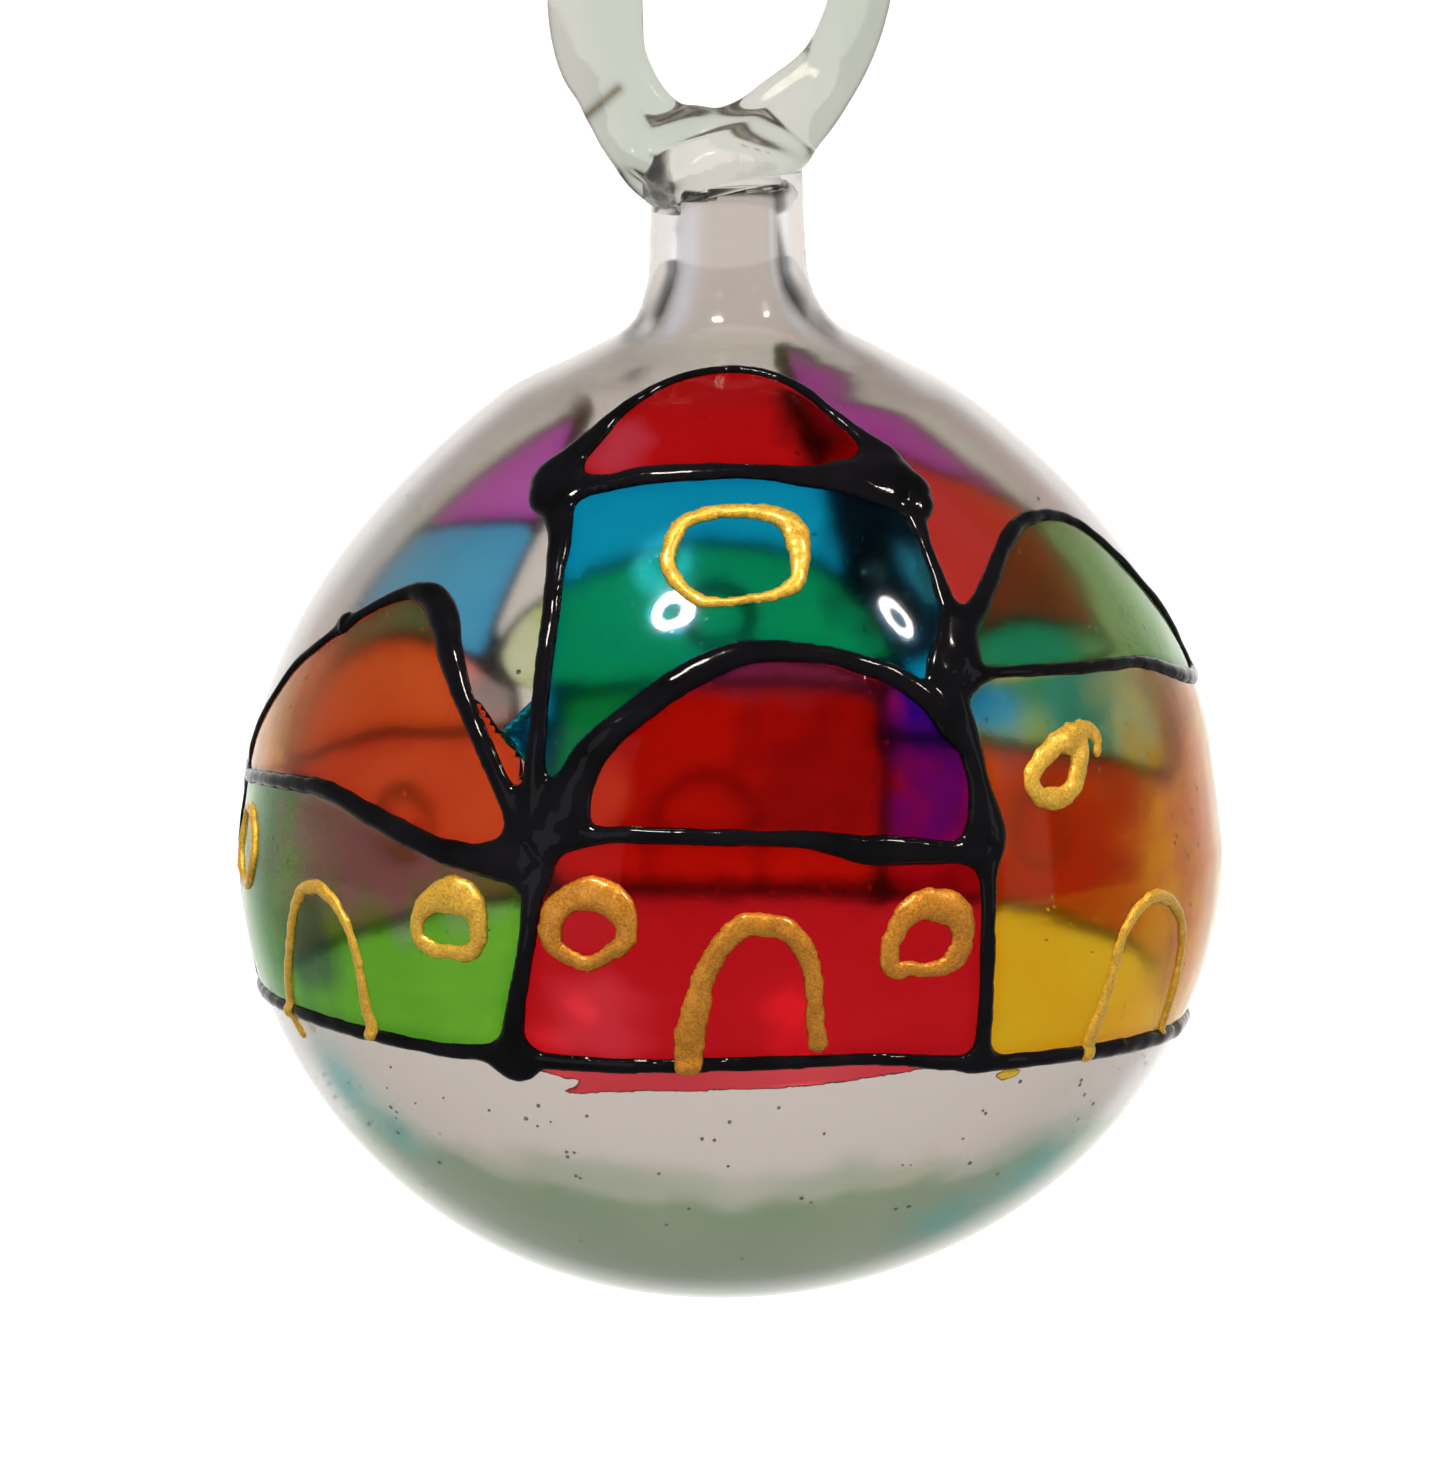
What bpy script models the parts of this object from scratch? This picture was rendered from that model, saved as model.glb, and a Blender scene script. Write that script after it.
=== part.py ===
"""Blown glass ball ornament with a fused glass hanging loop and a small town painted round it.

The paint is a net of raised black lines, a coloured see-through film in each field and
raised gold outlines for windows and doors.

Frame: the origin is the top of the loop's hole, where a hook or ribbon bears. +Z is up
and the front of the painting faces -Y. Every length below is in millimetres and is
turned to metres when a mesh is made. A point on the globe is (longitude, height):
longitude in degrees from the front towards +X, height above the globe's widest circle.
"""

import math

import bpy
import numpy as np

MM = 0.001

# Globe: an ellipse below its widest circle, a pear shoulder and a neck above it. Each
# point of the shoulder and of the hollow is (height above the widest circle, radius).
EQUATOR_Z = -68.0
GLOBE_RADIUS = 35.0
BELLY_DEPTH = 32.9
WALL = 1.5
SHOULDER = [
    (0.0, 35.0),
    (8.8, 33.7),
    (14.6, 31.6),
    (20.4, 28.2),
    (26.2, 23.3),
    (32.0, 16.6),
    (34.9, 11.6),
    (37.1, 7.7),
    (40.0, 5.9),
    (43.4, 5.5),
    (44.8, 5.2),
    (45.7, 4.6),
    (49.2, 4.55),
]
HOLLOW_SHOULDER = [
    (0.0, 33.5),
    (8.6, 32.2),
    (14.2, 30.2),
    (19.8, 26.8),
    (25.2, 22.2),
    (30.4, 15.8),
    (33.6, 10.0),
    (35.8, 5.4),
    (38.4, 2.9),
    (42.0, 1.95),
    (49.2, 1.9),
]
GLOBE_SEGMENTS = 48

# Hanging loop: a rod bent into a ring, swollen where it is fused to the neck.
LOOP_POINTS = [
    (0.0, 2.0, 2.0),
    (4.2, 1.1, 2.0),
    (7.6, -1.7, 1.95),
    (9.2, -6.0, 1.95),
    (8.2, -10.4, 2.3),
    (5.0, -14.4, 2.8),
    (-0.8, -18.3, 2.8),
    (-6.6, -15.0, 3.2),
    (-9.5, -10.4, 3.2),
    (-9.8, -5.8, 3.1),
    (-8.0, -1.4, 2.7),
    (-4.4, 1.2, 2.2),
]
LOOP_SIDES = 12
GATHER_SECTIONS = [
    (-15.6, -1.2, 7.6, 3.4),
    (-17.4, -1.3, 7.6, 5.0),
    (-19.4, -1.2, 7.1, 6.2),
    (-21.2, -0.9, 6.3, 6.3),
    (-22.2, -0.6, 6.0, 6.1),
]
GATHER_SIDES = 24
NECK_POCKET_RADIUS = 5.0
NECK_POCKET_TOP = -18.5

# Paint, laid on the glass in steps that leave a small gap between touching pieces.
GAP = 0.25
FILM_LIFT = 0.35
FILM = 0.2
LINE_WIDTH = 1.8
LINE_HEIGHT = 0.8
GOLD_WIDTH = 1.2
GOLD_HEIGHT = 0.5
GOLD_BASE = 0.75
LINE_STEP = 2.6
GOLD_STEP = 1.7
FIELD_MARGIN = 1.3

# Black lines of the front: centre house, tower behind it, and a house on each side.
CENTRE_LEFT_WALL = [
    (-26, -10.7), (-24.4, -5), (-23, 3), (-22.5, 9), (-23.3, 14), (-26, 20), (-30, 25),
    (-33.5, 27.1),
]
CENTRE_RIGHT_WALL = [
    (33.5, 27.0), (31.4, 23), (30.2, 17.7), (29, 13.5), (29.7, 7), (29.4, 0.5), (30, -5),
    (30.8, -10.7),
]
TOWER_ROOF = [
    (-34, 27.2), (-31.5, 30), (-24.8, 32.9), (-10.4, 34.6), (1, 34.9), (17.3, 33.9),
    (25.2, 31.5), (31.4, 29.8), (35, 27.6),
]
TOWER_EAVE = [
    (-34, 27.2), (-27, 27.4), (-17, 27.9), (-6, 28.4), (5, 28.4), (14.5, 28.1), (24, 27.9),
    (34, 27.2),
]
CENTRE_DOME = [
    (-18.5, 5.4), (-17, 9.8), (-12.3, 13.5), (-8.8, 15), (-0.9, 16.8), (7.3, 17.3), (16, 16.6),
    (23.4, 14.8), (29.2, 11.4),
]
CENTRE_EAVE = [(-22.7, 5.0), (-9.2, 5.5), (3, 5.6), (13.2, 5.0), (22.5, 4.2), (29.5, 3.6)]
LEFT_DOME = [
    (-86, 5.8), (-83, 10.5), (-77, 14), (-68.7, 16.3), (-61.7, 17.7), (-55.9, 19.1),
    (-50.4, 20.2), (-46, 20.5), (-41.8, 19.2), (-37.1, 15.5), (-33.9, 13.2), (-30.1, 10.7),
    (-26.7, 7.7), (-22.8, 4.6),
]
LEFT_EAVE = [
    (-92, 5.4), (-75, 6.0), (-60.6, 6.6), (-53.4, 6.6), (-43.7, 5.7), (-37.1, 4.7),
    (-31.3, 4.0), (-22.9, 4.2),
]
LEFT_END_WALL = [(-92, -11.3), (-93, -3), (-92, 5.4)]
RIGHT_DOME = [
    (29.4, 15.6), (32.2, 18.2), (37.5, 20.3), (45.7, 23.1), (52.7, 24.2), (60.7, 24.5),
    (69.8, 23), (77, 19.6), (81, 13.4),
]
RIGHT_EAVE = [(29.2, 13.9), (34, 15.2), (49.5, 15.1), (68.2, 14.4), (82.7, 13), (92, 12.4)]
RIGHT_END_WALL = [(92, -14.7), (93, -2), (92, 12.4)]

# Black lines of the back: the same kind of houses, with a tower on each side.
BACK_CENTRE_LEFT_WALL = [(204, -8.6), (204, -1), (203, 7)]
BACK_CENTRE_RIGHT_WALL = [(160, -8.7), (160, -1), (160.5, 7)]
BACK_CENTRE_EAVE = [(160.5, 7), (172, 7.4), (190, 7.3), (203, 7)]
BACK_CENTRE_DOME = [
    (158, 8.2), (159, 12), (164, 15.6), (172, 18.0), (184, 18.8), (196, 17.4), (204, 14.8),
    (209, 11.5), (209, 8),
]
BACK_LEFT_EAVE = [(204, 4.2), (218, 4.6), (232, 5.2), (248, 4.6), (268, 4.8)]
BACK_LEFT_DOME = [(213, 4.4), (216, 9.2), (228, 12.6), (242, 12.2), (252, 8.8), (256, 4.6)]
BACK_LEFT_TOWER = [
    (235, 12.4), (232.5, 18), (230, 24), (225, 29), (219, 31), (213, 29.5), (210, 24),
    (209.5, 18), (208.5, 12),
]
BACK_LEFT_TOWER_EAVE = [(232.2, 19.2), (221, 19.6), (209.6, 19.2)]
BACK_RIGHT_EAVE = [(92, 3.4), (112, 4.0), (136, 4.4), (160, 3.6)]
BACK_RIGHT_DOME = [(104, 3.8), (108, 9.6), (120, 13.6), (134, 14.4), (146, 11.0), (150, 4.2)]
BACK_RIGHT_TOWER = [
    (119, 13.4), (124, 20), (131, 25.8), (139, 30.5), (150, 33.2), (161, 33.6), (167, 29.5),
    (165, 23), (162, 15),
]
BACK_RIGHT_TOWER_EAVE = [(131.5, 26.0), (142, 26.6), (154, 26.8), (166, 26.2)]

# Gold doors.
CENTRE_DOOR = [
    (-4.6, -8.4), (-3.8, -6.2), (-2.7, -3.4), (-0.6, -1.1), (3.4, -0.2), (7, -1), (9.1, -4.3),
    (9.6, -8.2),
]
LEFT_DOOR = [
    (-64.5, -8.4), (-62.1, -5.3), (-59.4, -1.6), (-55, 0.2), (-51, -1.1), (-48.3, -4.2),
    (-47, -8.6),
]
RIGHT_DOOR = [
    (47, -9), (48.5, -5.4), (50.4, -2.2), (55.1, -0.8), (60.2, -1.4), (64, -4.4), (64.2, -9.6),
]
BACK_CENTRE_DOOR = [
    (176, -6.2), (177, -2.5), (181, -0.2), (186, -0.2), (189.5, -2.5), (190.5, -6.2),
]


def base_height(longitude):
    """Height of the black line that the town stands on. Drawn by hand, it wanders a little."""
    turn = math.radians(longitude)
    return -11.2 - 1.1 * math.cos(turn) + 1.9 * math.cos(2 * turn) - 1.65 * math.sin(turn)


def smooth(points, steps):
    """The points joined by a Catmull-Rom curve, with this many steps between neighbours.

    Points that end where they started make a closed curve, with no corner there.
    """
    knots = np.array(points, float)
    if np.allclose(knots[0], knots[-1]):
        before, after = knots[-2], knots[1]
    else:
        before, after = 2 * knots[0] - knots[1], 2 * knots[-1] - knots[-2]
    padded = np.vstack([before, knots, after])
    curve = []
    for a, b, c, d in zip(padded, padded[1:], padded[2:], padded[3:]):
        for t in np.arange(steps) / steps:
            linear = (c - a) * t
            square = (2 * a - 5 * b + 4 * c - d) * t**2
            cube = (3 * b - a - 3 * c + d) * t**3
            curve.append(0.5 * (2 * b + linear + square + cube))
    return np.array(curve + [knots[-1]])


def travelled(curve):
    """The distance from the curve's start to each of its points."""
    return np.concatenate([[0], np.cumsum(np.linalg.norm(np.diff(curve, axis=0), axis=1))])


def resample(curve, count):
    """The curve at count points spaced evenly along it."""
    lengths = travelled(curve)
    at = np.linspace(0, lengths[-1], count)
    return np.column_stack([np.interp(at, lengths, column) for column in curve.T])


SHOULDER_CURVE = smooth(SHOULDER, 8)


def globe_radius(height):
    if height < 0:
        return GLOBE_RADIUS * math.sqrt(max(0.0, 1 - (height / BELLY_DEPTH) ** 2))
    return float(np.interp(height, SHOULDER_CURVE[:, 0], SHOULDER_CURVE[:, 1]))


def on_globe(longitude, height, lift=0.0):
    """A point on the globe, lifted off the glass, and the direction it was lifted in."""
    turn = math.radians(longitude)
    slope = (globe_radius(height + 0.2) - globe_radius(height - 0.2)) / 0.4
    outward = np.array([math.sin(turn), -math.cos(turn), -slope])
    outward /= np.linalg.norm(outward)
    radius = globe_radius(height)
    foot = np.array([radius * math.sin(turn), -radius * math.cos(turn), EQUATOR_Z + height])
    return foot + outward * lift, outward


def make_material(name, colour, roughness, metallic=0.0, transmission=0.0):
    material = bpy.data.materials.new(name)
    material.use_nodes = True
    shader = material.node_tree.nodes["Principled BSDF"]
    shader.inputs["Base Color"].default_value = (*colour, 1.0)
    shader.inputs["Roughness"].default_value = roughness
    shader.inputs["Metallic"].default_value = metallic
    shader.inputs["Transmission Weight"].default_value = transmission
    material.diffuse_color = (*colour, 1.0)
    return material


def mesh_object(name, points, faces, material, collection):
    """An object made of points in millimetres."""
    mesh = bpy.data.meshes.new(name)
    mesh.from_pydata([tuple(MM * float(v) for v in point) for point in points], [], faces)
    mesh.materials.append(material)
    mesh.polygons.foreach_set("use_smooth", [True] * len(mesh.polygons))
    mesh.update()
    obj = bpy.data.objects.new(name, mesh)
    collection.objects.link(obj)
    return obj


def tube_faces(rings, sides, closed):
    """Faces that join rings of points, with a cap on each end of an open tube."""
    faces = []
    for i in range(rings if closed else rings - 1):
        this, following = i * sides, (i + 1) % rings * sides
        for k in range(sides):
            turned = (k + 1) % sides
            faces.append((this + k, this + turned, following + turned, following + k))
    if not closed:
        faces.append(tuple(reversed(range(sides))))
        faces.append(tuple(range((rings - 1) * sides, rings * sides)))
    return faces


def bead(name, points, paint, width, height, lift, step, trim, swell, closed):
    """A raised bead of paint along points on the globe: a flat foot and a round back.

    trim shortens the ends, and swell widens the bead towards each end.
    """
    curve = smooth(points, 10)
    path = np.array([on_globe(lon, h)[0] for lon, h in curve])
    lengths = travelled(path)
    first, last = trim[0], lengths[-1] - trim[1]
    count = max(4, round((last - first) / step) + 1)
    at = np.linspace(first, last, count)
    if closed:
        at = at[:-1]
    spots = np.column_stack([np.interp(at, lengths, curve[:, k]) for k in (0, 1)])
    feet = [on_globe(lon, h, lift) for lon, h in spots]
    centres = np.array([foot for foot, _ in feet])
    verts = []
    for i, (centre, outward) in enumerate(feet):
        after = centres[(i + 1) % len(feet)] if closed or i + 1 < len(feet) else centre
        before = centres[i - 1] if closed or i else centre
        along = after - before
        side = np.cross(outward, along)
        side /= np.linalg.norm(side)
        part = i / (len(feet) - 1)
        wide = width * max(1 + (swell[0] - 1) * (1 - 2.5 * part), 1)
        wide = max(wide, width * (1 + (swell[1] - 1) * (2.5 * part - 1.5)))
        size = 1.0 if closed or 0 < i < len(feet) - 1 else 0.55
        for angle in (0, 50, 90, 130, 180):
            turn = math.radians(angle)
            across = side * (size * wide / 2 * math.cos(turn))
            verts.append(centre + across + outward * (size * height * math.sin(turn)))
    return mesh_object(name, verts, tube_faces(len(feet), 5, closed), paint, ORNAMENT)


def ring_round(centre, half_width, half_height, lean=0.0):
    """Points of a hand-drawn round window: an oval about centre, its sizes in millimetres."""
    longitude, height = centre
    points = []
    for angle in range(0, 360, 45):
        turn = math.radians(angle)
        across = half_width * math.cos(turn) + lean * math.sin(turn)
        spread = math.degrees(across / globe_radius(height))
        points.append((longitude + spread, height + half_height * math.sin(turn)))
    return points + points[:1]


def black(name, points, trim=(0.0, 0.0), swell=(1.0, 1.0), closed=False):
    bead(name, points, BLACK, LINE_WIDTH, LINE_HEIGHT, GAP, LINE_STEP, trim, swell, closed)


def gold(name, points, closed=False):
    whole = ((0.0, 0.0), (1.0, 1.0))
    bead(name, points, GOLD, GOLD_WIDTH, GOLD_HEIGHT, GOLD_BASE, GOLD_STEP, *whole, closed)


def field(name, bottom, top, colour, columns, rows, margins=(FIELD_MARGIN,) * 4):
    """A see-through film between two lines of the drawing.

    bottom and top run the same way, and columns join them in step. margins keep the film
    off its bottom, end, top and start lines.
    """
    low, high = smooth(bottom, 10), smooth(top, 10)
    scale = np.array([GLOBE_RADIUS * math.pi / 180, 1.0])
    low = resample(low * scale, 201) / scale
    high = resample(high * scale, 201) / scale
    middle = np.array([on_globe(*point)[0] for point in (low + high) / 2])
    across = travelled(middle)
    at = np.linspace(margins[3], across[-1] - margins[1], columns + 1)
    picked = np.interp(at, across, np.arange(201))
    verts = []
    for place in picked:
        k = min(int(place), 199)
        share = place - k
        start = low[k] * (1 - share) + low[k + 1] * share
        end = high[k] * (1 - share) + high[k + 1] * share
        long = np.linalg.norm(on_globe(*end)[0] - on_globe(*start)[0])
        for part in np.linspace(margins[0] / long, 1 - margins[2] / long, rows + 1):
            lon, h = start + (end - start) * part
            verts.append(on_globe(lon, h, FILM_LIFT)[0])
    stride = rows + 1
    faces = []
    for i in range(columns):
        for j in range(rows):
            a, b = i * stride + j, (i + 1) * stride + j
            faces.append((a, b, b + 1, a + 1))
    material = make_material(name.replace("_pane", "_paint"), colour, 0.12, transmission=0.85)
    film = mesh_object(name, verts, faces, material, ORNAMENT)
    thick = film.modifiers.new("thick", "SOLIDIFY")
    thick.thickness = MM * FILM
    thick.offset = 1


def base_span(first, last, count=5):
    """Points of the base line between two longitudes."""
    return [(lon, base_height(lon)) for lon in np.linspace(first, last, count)]


def side_of_globe(radius, depth, shoulder, count):
    """One side of the globe's section, from the bottom up, as (radius, height)."""
    turns = [math.radians(angle) for angle in range(0, 90, 9)]
    belly = [(radius * math.sin(turn), -depth * math.cos(turn)) for turn in turns]
    return belly + [(r, h) for h, r in resample(smooth(shoulder, 8), count)]


def make_globe():
    """The blown bulb and neck: a shell turned about Z, thick in the neck and open at its top."""
    inner = side_of_globe(GLOBE_RADIUS - WALL, BELLY_DEPTH - WALL, HOLLOW_SHOULDER, 17)
    outer = side_of_globe(GLOBE_RADIUS, BELLY_DEPTH, SHOULDER, 20)
    profile = inner + outer[::-1]
    mesh = bpy.data.meshes.new("glass_globe")
    points = [(MM * r, 0, MM * (EQUATOR_Z + h)) for r, h in profile]
    mesh.from_pydata(points, [(i, i + 1) for i in range(len(points) - 1)], [])
    mesh.materials.append(GLASS)
    obj = bpy.data.objects.new("glass_globe", mesh)
    ORNAMENT.objects.link(obj)
    turned = obj.modifiers.new("turned", "SCREW")
    turned.steps = turned.render_steps = GLOBE_SEGMENTS
    turned.use_merge_vertices = True
    turned.merge_threshold = 0.00002
    turned.use_smooth_shade = True


def make_loop():
    """The rod of the loop joined to the gather that swallows the end of the neck."""
    rod = bpy.data.curves.new("loop_rod", "CURVE")
    rod.dimensions = "3D"
    rod.bevel_depth = MM
    rod.bevel_resolution = (LOOP_SIDES - 4) // 2
    centre_line = smooth(LOOP_POINTS + LOOP_POINTS[:1], 3)[:-1]
    spline = rod.splines.new("POLY")
    spline.points.add(len(centre_line) - 1)
    spline.use_cyclic_u = True
    for point, (x, z, radius) in zip(spline.points, centre_line):
        point.co = (MM * x, 0, MM * z, 1)
        point.radius = radius
    guide = bpy.data.objects.new("loop_rod", rod)
    ORNAMENT.objects.link(guide)
    graph = bpy.context.evaluated_depsgraph_get()
    mesh = bpy.data.meshes.new_from_object(guide.evaluated_get(graph))
    bpy.data.objects.remove(guide, do_unlink=True)
    mesh.name = "hanging_loop"
    mesh.shade_smooth()
    mesh.materials.clear()
    mesh.materials.append(GLASS)
    loop = bpy.data.objects.new("hanging_loop", mesh)
    ORNAMENT.objects.link(loop)
    face_outwards(loop)
    join(loop, make_gather(), "UNION")
    join(loop, make_pocket(), "DIFFERENCE")


def make_gather():
    """A loft through ovals: wide and flat under the loop, rounder towards the globe."""
    verts = []
    for z, x, half_width, half_depth in GATHER_SECTIONS:
        for k in range(GATHER_SIDES):
            turn = 2 * math.pi * k / GATHER_SIDES
            verts.append((x + half_width * math.cos(turn), half_depth * math.sin(turn), z))
    faces = tube_faces(len(GATHER_SECTIONS), GATHER_SIDES, False)
    gather = mesh_object("gather_tool", verts, faces, GLASS, TOOLS)
    face_outwards(gather)
    return as_tool(gather)


def make_pocket():
    """Clears the gather round the end of the neck."""
    bottom = GATHER_SECTIONS[-1][0] - 2.0
    bpy.ops.mesh.primitive_cylinder_add(
        vertices=GATHER_SIDES,
        radius=MM * NECK_POCKET_RADIUS,
        depth=MM * (NECK_POCKET_TOP - bottom),
        location=(0, 0, MM * (NECK_POCKET_TOP + bottom) / 2),
    )
    pocket = bpy.context.active_object
    pocket.name = "pocket_tool"
    for collection in pocket.users_collection:
        collection.objects.unlink(pocket)
    TOOLS.objects.link(pocket)
    return as_tool(pocket)


def as_tool(obj):
    obj.hide_render = True
    obj.display_type = "WIRE"
    return obj


def face_outwards(obj):
    """Turns the faces round if the mesh encloses a negative volume."""
    mesh = obj.data
    mesh.calc_loop_triangles()
    volume = 0.0
    for triangle in mesh.loop_triangles:
        a, b, c = (mesh.vertices[i].co for i in triangle.vertices)
        volume += a.dot(b.cross(c))
    if volume < 0:
        mesh.flip_normals()


def join(obj, tool, operation):
    change = obj.modifiers.new(tool.name, "BOOLEAN")
    change.operation = operation
    change.solver = "EXACT"
    change.object = tool


def paint_front_lines():
    black("centre_left_wall_line", CENTRE_LEFT_WALL, trim=(1.7, 2.2))
    black("centre_right_wall_line", CENTRE_RIGHT_WALL, trim=(1.5, 1.5), swell=(1.6, 1.0))
    black("tower_roof_line", TOWER_ROOF)
    black("tower_eave_line", TOWER_EAVE, trim=(2.4, 3.0))
    black("centre_dome_line", CENTRE_DOME, trim=(1.7, 2.6), swell=(1.7, 1.0))
    black("centre_eave_line", CENTRE_EAVE, trim=(1.4, 1.4))
    black("left_dome_line", LEFT_DOME, trim=(1.7, 4.0))
    black("left_eave_line", LEFT_EAVE, trim=(0.0, 1.4))
    black("left_end_wall_line", LEFT_END_WALL, trim=(1.4, 1.5))
    black("right_dome_line", RIGHT_DOME, trim=(4.7, 1.6))
    black("right_eave_line", RIGHT_EAVE, trim=(1.8, 0.0))
    black("right_end_wall_line", RIGHT_END_WALL, trim=(1.4, 1.5))


def paint_back_lines():
    black("back_centre_left_wall_line", BACK_CENTRE_LEFT_WALL, trim=(1.4, 1.5))
    black("back_centre_right_wall_line", BACK_CENTRE_RIGHT_WALL, trim=(1.4, 1.5))
    black("back_centre_eave_line", BACK_CENTRE_EAVE)
    black("back_centre_dome_line", BACK_CENTRE_DOME)
    black("back_left_eave_line", BACK_LEFT_EAVE, trim=(1.4, 1.4))
    black("back_left_dome_line", BACK_LEFT_DOME, trim=(1.5, 1.5))
    black("back_left_tower_line", BACK_LEFT_TOWER, trim=(1.8, 2.3))
    black("back_left_tower_eave_line", BACK_LEFT_TOWER_EAVE, trim=(1.4, 1.4))
    black("back_right_eave_line", BACK_RIGHT_EAVE, trim=(1.9, 1.4))
    black("back_right_dome_line", BACK_RIGHT_DOME, trim=(1.5, 1.5))
    black("back_right_tower_line", BACK_RIGHT_TOWER, trim=(1.8, 2.1))
    black("back_right_tower_eave_line", BACK_RIGHT_TOWER_EAVE, trim=(1.6, 1.6))


def paint_front_fields():
    red, blue = (0.62, 0.01, 0.02), (0.0, 0.22, 0.5)
    violet, crimson = (0.32, 0.01, 0.28), (0.72, 0.01, 0.04)
    orange, leaf = (0.8, 0.2, 0.02), (0.12, 0.45, 0.02)
    green, yellow = (0.03, 0.32, 0.08), (0.8, 0.45, 0.01)
    tower_foot = [(-21.5, 8.4)] + CENTRE_DOME[2:8] + [CENTRE_RIGHT_WALL[3]]
    left_foot = [(-86, 5.6)] + LEFT_EAVE[1:]
    field("tower_roof_pane", TOWER_EAVE, TOWER_ROOF, red, 12, 3, (1.7, 4.0, 2.2, 4.0))
    field("tower_wall_pane", tower_foot, TOWER_EAVE, blue, 9, 5, (1.9, 2.2, 1.4, 3.0))
    field("centre_dome_pane", CENTRE_EAVE, CENTRE_DOME, violet, 10, 4, (1.5, 3.0, 2.4, 4.8))
    field("centre_wall_pane", base_span(-26, 30.8), CENTRE_EAVE, crimson, 9, 4)
    field("left_dome_pane", left_foot, LEFT_DOME, orange, 12, 4, (1.6, 5.6, 2.2, 3.4))
    field("left_wall_pane", base_span(-92, -26), LEFT_EAVE, leaf, 10, 4)
    field("right_dome_pane", RIGHT_EAVE[:5], RIGHT_DOME, green, 10, 3, (1.7, 3.2, 2.2, 4.2))
    field("right_wall_pane", base_span(30.8, 92), RIGHT_EAVE, yellow, 11, 7)


def paint_back_fields():
    lime, amber = (0.55, 0.6, 0.03), (0.82, 0.42, 0.02)
    rose, crimson, purple = (0.75, 0.1, 0.16), (0.6, 0.02, 0.08), (0.3, 0.03, 0.36)
    sky, red, turquoise = (0.1, 0.4, 0.65), (0.66, 0.03, 0.02), (0.0, 0.3, 0.4)
    centre_eave, left_eave, right_eave = BACK_CENTRE_EAVE, BACK_LEFT_EAVE, BACK_RIGHT_EAVE
    left_mid, right_mid = BACK_LEFT_TOWER_EAVE[::-1], BACK_RIGHT_TOWER_EAVE
    left_foot = [(210, 11.8), (222, 13.4), (234.5, 13.8)]
    right_foot = [(121, 15.2), (134, 15.8), (147, 13.4), (160, 16.6)]
    left_top, right_top = BACK_LEFT_TOWER[1:8][::-1], BACK_RIGHT_TOWER[2:8]
    field("back_centre_dome_pane", centre_eave, BACK_CENTRE_DOME, lime, 9, 3, (1.5, 1.4, 1.6, 1.4))
    field("back_centre_wall_pane", base_span(160, 204), centre_eave, amber, 7, 4)
    field("back_left_dome_pane", left_eave[1:4], BACK_LEFT_DOME, rose, 8, 2, (1.6, 3.0, 1.7, 3.0))
    field("back_left_wall_pane", base_span(204, 268), left_eave, crimson, 9, 4, (1.3, 2.1, 1.3, 1.3))
    field("back_left_tower_wall_pane", left_foot, left_mid, sky, 5, 2, (0.6, 1.5, 1.4, 1.6))
    field("back_left_tower_roof_pane", left_mid, left_top, purple, 6, 3, (1.7, 3.5, 2.9, 3.5))
    field("back_right_dome_pane", right_eave[1:3], BACK_RIGHT_DOME, turquoise, 8, 2, (2.4, 3.0, 2.0, 2.8))
    field("back_right_wall_pane", base_span(92, 160), right_eave, rose, 9, 4, (1.3, 1.3, 1.3, 2.1))
    field("back_right_tower_wall_pane", right_foot, right_mid, red, 7, 3, (0.6, 1.8, 1.4, 1.8))
    field("back_right_tower_roof_pane", right_mid, right_top, purple, 7, 2, (2.3, 4.2, 2.8, 4.4))


def paint_gold():
    """Windows are closed rings and doors are arches that stop short of the base line."""
    gold("tower_window", ring_round((0.5, 23.4), 4.6, 2.9, 0.3), closed=True)
    gold("centre_left_window", ring_round((-15.9, -0.5), 2.9, 2.6), closed=True)
    gold("centre_right_window", ring_round((22.2, -1.3), 2.7, 2.6, 0.4), closed=True)
    gold("left_window", ring_round((-33.2, -0.9), 2.6, 2.5, 0.3), closed=True)
    gold("left_end_window", ring_round((-81.5, 0.6), 2.7, 2.4), closed=True)
    gold("right_window", ring_round((40.4, 8.8), 2.3, 2.3, 0.8), closed=True)
    gold("centre_door", CENTRE_DOOR)
    gold("left_door", LEFT_DOOR)
    gold("right_door", RIGHT_DOOR)
    gold("back_centre_door", BACK_CENTRE_DOOR)
    gold("back_centre_window", ring_round((182, 12.8), 2.7, 2.2), closed=True)
    gold("back_left_window", ring_round((226, -2.2), 2.6, 2.5, 0.3), closed=True)
    gold("back_right_window", ring_round((137, -2.6), 2.7, 2.5, -0.3), closed=True)


for old in list(bpy.data.objects):
    bpy.data.objects.remove(old, do_unlink=True)
ORNAMENT = bpy.data.collections.new("painted glass ornament")
TOOLS = bpy.data.collections.new("cutting tools")
bpy.context.scene.collection.children.link(ORNAMENT)
bpy.context.scene.collection.children.link(TOOLS)
TOOLS.hide_render = True
GLASS = make_material("clear_glass", (0.93, 0.94, 0.92), 0.03, transmission=1.0)
BLACK = make_material("black_contour_paint", (0.012, 0.011, 0.014), 0.22)
GOLD = make_material("gold_contour_paint", (0.72, 0.47, 0.09), 0.34, metallic=0.85)
make_globe()
make_loop()
black("base_line", base_span(0, 360, 33), closed=True)
paint_front_lines()
paint_back_lines()
paint_front_fields()
paint_back_fields()
paint_gold()
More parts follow.
